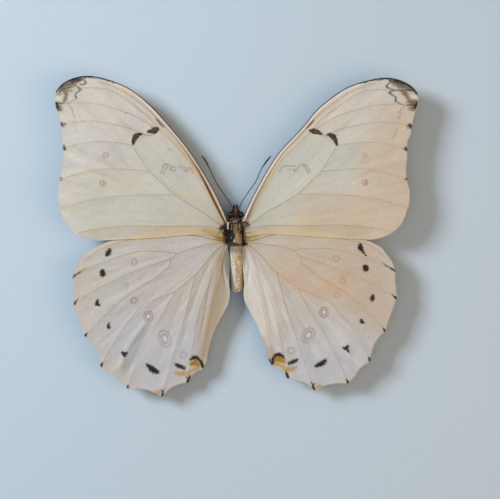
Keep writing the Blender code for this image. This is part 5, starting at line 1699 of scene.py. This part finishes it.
def add_bristles(material):
    lines = [smooth_line(route, 0.15) for route in BRISTLES]
    routes = [(line, np.linspace(*BRISTLE_RADII, len(line))) for line in lines]
    add_rods("curled_bristles", routes, material, "thorax_fur")


HEAD_COAT = Coat(stand=0.8, stray=0.3, curl=0.0, sway=0.3, lengths=(0.35, 0.7), widths=(0.05, 0.09))
HEAD_COMB = np.array([0.0, 0.25, 0.25])
HEAD_HAIRS = 2800
EYE_CLEARANCE = 1.3
HEAD_BROWNS = ["#2a1b12", "#3f2817", "#1c120c"]
CROWN_RUSTS = ["#7d4a1e", "#935c2a", "#4a2e17"]
CROWN_LIGHTS = ["#c9935a", "#b07a42"]
CROWN_WIDTHS = (0.38, 0.16)


def add_head(materials):
    """The head between its two large eyes, with brown hair and a rust and tan crown."""
    add_ball("head_skin", HEAD_CENTRE, HEAD_RADII, materials["cuticle"], "head_hair", ["head"])
    for side, centre in EYE_CENTRES.items():
        add_ball(f"eye_{side}_cornea", centre, EYE_RADII, materials["eye"], "eye", [f"eye_{side}"], 56, 40)
    draw = np.random.default_rng(71)
    facing = unit(draw.normal(size=(HEAD_HAIRS, 3)))
    places = np.array(HEAD_CENTRE) + facing * HEAD_RADII
    clear = np.ones(HEAD_HAIRS, bool)
    for centre in EYE_CENTRES.values():
        clear &= (((places - centre) / EYE_RADII) ** 2).sum(axis=1) > EYE_CLEARANCE
    places, facing = places[clear], facing[clear]
    count = len(places)
    tints = picked_tints(draw, HEAD_BROWNS, count)
    crown = np.abs(facing[:, 0] + draw.normal(scale=0.12, size=count)) < CROWN_WIDTHS[0]
    light = crown & (np.abs(facing[:, 0]) < CROWN_WIDTHS[1]) & (facing[:, 1] > 0.1)
    tint_where(draw, tints, crown, CROWN_RUSTS)
    tint_where(draw, tints, light, CROWN_LIGHTS)
    aims = HEAD_COAT.aims(draw, facing, HEAD_COMB)
    bends = draw.normal(scale=HEAD_COAT.sway, size=(count, 3))
    add_blades(
        "head_hair_coat", places, aims, bends, *HEAD_COAT.sizes(draw, count), tints, materials["hair"],
        "head_hair", 72,
    )


ANTENNA_RADIUS = 0.145
ANTENNA_CLUB_RADIUS = 0.28
CLUB_START = 0.72
CLUB_TURN = 2.4
ANTENNA_RING = 0.42
RING_NOTCH = 0.16
ANTENNA_TIP = (0.9, 0.65, 0.3)


def add_antennae(material):
    """Feelers of short rings that thicken slowly to a slight club."""
    for side, route in ANTENNAE.items():
        line = smooth_line(route, 0.07)
        along = distance_along(line)
        club = np.clip((along / along[-1] - CLUB_START) / (1 - CLUB_START), 0.0, 1.0)
        radii = ANTENNA_RADIUS + (ANTENNA_CLUB_RADIUS - ANTENNA_RADIUS) * np.sin(club * CLUB_TURN) ** 2
        radii *= 1 - RING_NOTCH * np.abs(np.cos(along * math.pi / ANTENNA_RING)) ** 6
        radii[-3:] *= ANTENNA_TIP
        add_rods(f"antenna_{side}_shaft", [(line, radii)], material, "chitin", [f"antenna_{side}"])


PALP_RADII = (0.3, 0.1)
PALP_COAT = Coat(stand=0.45, stray=0.12, curl=0.3, sway=0.0, lengths=(0.25, 0.5), widths=(0.04, 0.08))
PALP_HAIRS = 420
PALP_BROWNS = ["#2a1b12", "#3f2817", "#6b4526"]


def add_palps(materials):
    """Palps that point forward and up under a coat of dark bristles."""
    draw = np.random.default_rng(81)
    for side, route in PALPS.items():
        line = smooth_line(route, 0.08)
        radii = PALP_RADII[0] + (PALP_RADII[1] - PALP_RADII[0]) * np.linspace(0.0, 1.0, len(line)) ** 1.5
        radii[-2:] *= (0.7, 0.35)
        add_rods(f"palp_{side}_core", [(line, radii)], materials["cuticle"], "head_hair", [f"palp_{side}"], 4)
        roots, run, facing = along_rod(draw, line, radii, 0, PALP_HAIRS, 0.8)
        aims = PALP_COAT.aims(draw, facing, run)
        tints = picked_tints(draw, PALP_BROWNS, PALP_HAIRS)
        add_blades(
            f"palp_{side}_bristles", roots, aims, -PALP_COAT.curl * facing,
            *PALP_COAT.sizes(draw, PALP_HAIRS), tints, materials["hair"], "head_hair", 83,
        )


TONGUE_TURNS = 1.75
TONGUE_START = 110.0  # degrees round the coil
TONGUE_COIL = (0.8, 0.176)  # the coil's radius at its start and its end
TONGUE_RADII = (0.13, 0.078)
TONGUE_KNOTS = 110


def add_tongue(material):
    """The tongue, rolled up in an upright spiral under the head, with fine rings."""
    share = np.linspace(0.0, 1.0, TONGUE_KNOTS)
    coil = np.linspace(*TONGUE_COIL, TONGUE_KNOTS)
    angle = math.radians(TONGUE_START) - share * TONGUE_TURNS * math.tau
    x, y, z = TONGUE_CENTRE
    line = np.column_stack([np.full_like(share, x), y + coil * np.cos(angle), z + coil * np.sin(angle)])
    radii = np.linspace(*TONGUE_RADII, TONGUE_KNOTS) * (1 - 0.1 * np.abs(np.cos(share * 90)) ** 4)
    add_rods("tongue_coil", [(line, radii)], material, "chitin", ["proboscis"], 3)


JOINT_NOTCH = 0.22
JOINT_REACH = 0.018  # share of the leg
FOOT_JOINTS = (0.82, 0.88, 0.94)
LEG_COAT = Coat(stand=0.7, stray=0.0, curl=0.2, sway=0.0, lengths=(0.15, 0.4), widths=(0.03, 0.06))
LEG_SPINES = 260
LEG_BROWNS = ["#3a2517", "#5b3d25", "#8a6a48"]


def leg_radii(name, share, joints):
    """A leg's thickness along it: stout thigh, slimmer shin, thin foot, drawn in at each joint."""
    thick, thin = LEG_RADII[name]
    radii = thick + (thin - thick) * np.minimum(1.0, 1.5 * share)
    for joint in joints:
        radii = radii * (1 - JOINT_NOTCH * np.exp(-(((share - joint) / JOINT_REACH) ** 2)))
    radii[-2:] *= (0.8, 0.5)
    return radii


def add_leg(name, side, route, materials, draw):
    """One leg with its spines, which don't reach below the floor."""
    knots = np.array([(SIDES[side] * x + BODY_OFFSET, y, z) for x, y, z in route])
    line = smooth_line(knots, 0.1)
    share = distance_along(line) / distance_along(line)[-1]
    joints = [share[np.argmin(np.linalg.norm(line - knot, axis=1))] for knot in knots[1:-1]]
    radii = leg_radii(name, share, [*joints, *FOOT_JOINTS])
    add_rods(f"{name}_{side}_limb", [(line, radii)], materials["leg"], "chitin", [f"{name}_{side}"], 3)
    roots, run, facing = along_rod(draw, line, radii, 2, LEG_SPINES, 0.85)
    aims = unit(run + LEG_COAT.stand * facing)
    low = roots[:, 2] < 0.2
    aims[low, 2] = np.abs(aims[low, 2])
    tints = picked_tints(draw, LEG_BROWNS, LEG_SPINES)
    add_blades(
        f"{name}_{side}_spines", roots, aims, -LEG_COAT.curl * facing, *LEG_COAT.sizes(draw, LEG_SPINES),
        tints, materials["hair"], "chitin", 95,
    )


def add_legs(materials):
    """Short folded forelegs, and middle and hind legs that carry the insect."""
    draw = np.random.default_rng(91)
    for name, route in LEGS.items():
        for side in SIDES:
            add_leg(name, side, route, materials, draw)


# ---- floor, light and camera

FLOOR_SIZE = 4.0
FLOOR_COLOUR = "#aebfca"


def add_floor():
    """A plain pale floor, seen only from above so that views from below show the insect."""
    material, tree, output = new_material("pale_matt_floor")
    finish = {"Base Color": srgb(FLOOR_COLOUR), "Roughness": 0.85}
    front = add_node(tree, "ShaderNodeBsdfPrincipled", finish).outputs[0]
    clear = add_node(tree, "ShaderNodeBsdfTransparent").outputs[0]
    back = add_node(tree, "ShaderNodeNewGeometry").outputs["Backfacing"]
    shader = add_node(tree, "ShaderNodeMixShader", {0: back, 1: front, 2: clear})
    tree.links.new(shader.outputs[0], output.inputs["Surface"])
    deselect()
    bpy.ops.mesh.primitive_plane_add(size=FLOOR_SIZE, location=(0.0, 0.0, 0.0))
    floor = bpy.context.object
    floor.name = "floor"
    floor.data.materials.append(material)


# Soft boxes: name, place and aim in millimetres, size in millimetres, watts, colour
LIGHTS = [
    ("cool_window", (-520.0, 260.0, 470.0), (0.0, 0.0, 0.0), 240.0, 6.55, "#e6ebf4"),
    ("warm_room", (340.0, -80.0, 380.0), (20.0, -5.0, 0.0), 380.0, 1.05, "#ffcf9f"),
    ("soft_overhead", (0.0, -120.0, 900.0), (0.0, 0.0, 0.0), 700.0, 1.8, "#f8f8f6"),
]
ROOM_COLOUR = "#dde2e6"
ROOM_STRENGTH = 0.25


def add_lights():
    for name, place, aim, size, watts, code in LIGHTS:
        start, stop = Vector(place) * MM, Vector(aim) * MM
        bpy.ops.object.light_add(type="AREA", location=start)
        lamp = bpy.context.object
        lamp.name = name
        lamp.rotation_euler = (stop - start).to_track_quat("-Z", "Y").to_euler()
        lamp.data.size = size * MM
        lamp.data.energy = watts
        lamp.data.color = srgb(code)[:3]
    world = bpy.data.worlds.new("pale_room")
    world.use_nodes = True
    sky = world.node_tree.nodes["Background"]
    sky.inputs["Color"].default_value = srgb(ROOM_COLOUR)
    sky.inputs["Strength"].default_value = ROOM_STRENGTH
    bpy.context.scene.world = world
    bpy.context.scene.view_settings.view_transform = "Standard"


def add_camera():
    """The camera looks straight down, as the photograph was taken."""
    x, y, _ = to_metres([(*VIEW_CENTRE, 0.0)])[0]
    height = (WING_PLANE_Z + CAMERA_DISTANCE) * MM
    bpy.ops.object.camera_add(location=(x, y, height), rotation=(0.0, 0.0, 0.0))
    camera = bpy.context.object
    camera.data.sensor_width = SENSOR_WIDTH
    camera.data.lens = SENSOR_WIDTH * CAMERA_DISTANCE / VIEW_WIDTH
    bpy.context.scene.camera = camera


def add_wings(materials):
    pairs = [(wing, side) for wing in (FOREWING, HINDWING) for side in SIDES]
    for number, (wing, side) in enumerate(pairs):
        add_membrane(wing, side, materials[f"{wing.name}_upper"], materials[f"{wing.name}_underside"])
        add_veins(wing, side, materials)
        add_spot_hairs(wing, side, materials["hair"], 231 + number)
        add_fringe(wing, side, materials["hair"], 201 + number)
    for side in SIDES:
        add_costa(side, materials["costa"])


# The wings' own colours: lilac, green and cream casts, and the shade between scales
UPPER_BASE = {
    "forewing": ("#cdcacb", "#cbcec0", "#d6ccb6", "#aba592"),
    "hindwing": ("#c3c1c3", "#c0c3b9", "#cac0ac", "#9f9a8a"),
}
UNDERSIDE_BASE = ("#c6c0bc", "#c3c2b2", "#d3c5ab", "#a5957e")


def wing_materials():
    """Upper and under material of each wing, with its ring code, ring strength and vein stain."""
    return {
        f"{wing.name}_{face}": wing_material(f"pearly_scaled_{wing.name}_{face}", base, wing, *rest)
        for wing in (FOREWING, HINDWING)
        for face, base, *rest in (
            ("upper", UPPER_BASE[wing.name], UPPER_PAINT, "#8a5f35", 0.85, 0.6),
            ("underside", UNDERSIDE_BASE, UNDERSIDE_PAINT, "#5f4023", 0.95, 0.5),
        )
    }


def dress():
    materials = wing_materials() | {
        "vein": vein_material("brown_chitin_veins_under_scales", "#988c72", "#867658", "#543c24", 34.0, 10.0),
        "costal_vein": vein_material("dark_chitin_costal_vein", "#a38a6a", "#6b482a", "#432611", 48.0, 34.0),
        "hair": blade_material("fine_insect_hair_and_scales"),
        "cuticle": cuticle_material("blue_black_thorax_cuticle", "#121417", "#2f3842", 0.3, 0.35),
        "hide": cuticle_material("tan_abdomen_hide", "#8f8068", "#b5a68c", 0.6, 0.4),
        "leg": cuticle_material("brown_leg_chitin", "#2c1d13", "#4a3424", 0.42, 0.3),
        "antenna": cuticle_material("black_antenna_chitin", "#0a0807", "#17110d", 0.6, 0.3),
        "costa": cuticle_material("brown_black_costal_chitin", "#150f0b", "#2c2018", 0.7, 0.6),
        "eye": eye_material(),
    }
    add_wings(materials)
    add_thorax(materials)
    add_collar(materials["hair"])
    add_tegulae(materials)
    add_tufts(materials["hair"])
    add_bristles(materials["antenna"])
    add_abdomen(materials)
    add_head(materials)
    add_antennae(materials["antenna"])
    add_palps(materials)
    add_tongue(materials["leg"])
    add_legs(materials)


add_camera()
add_lights()
add_floor()
dress()
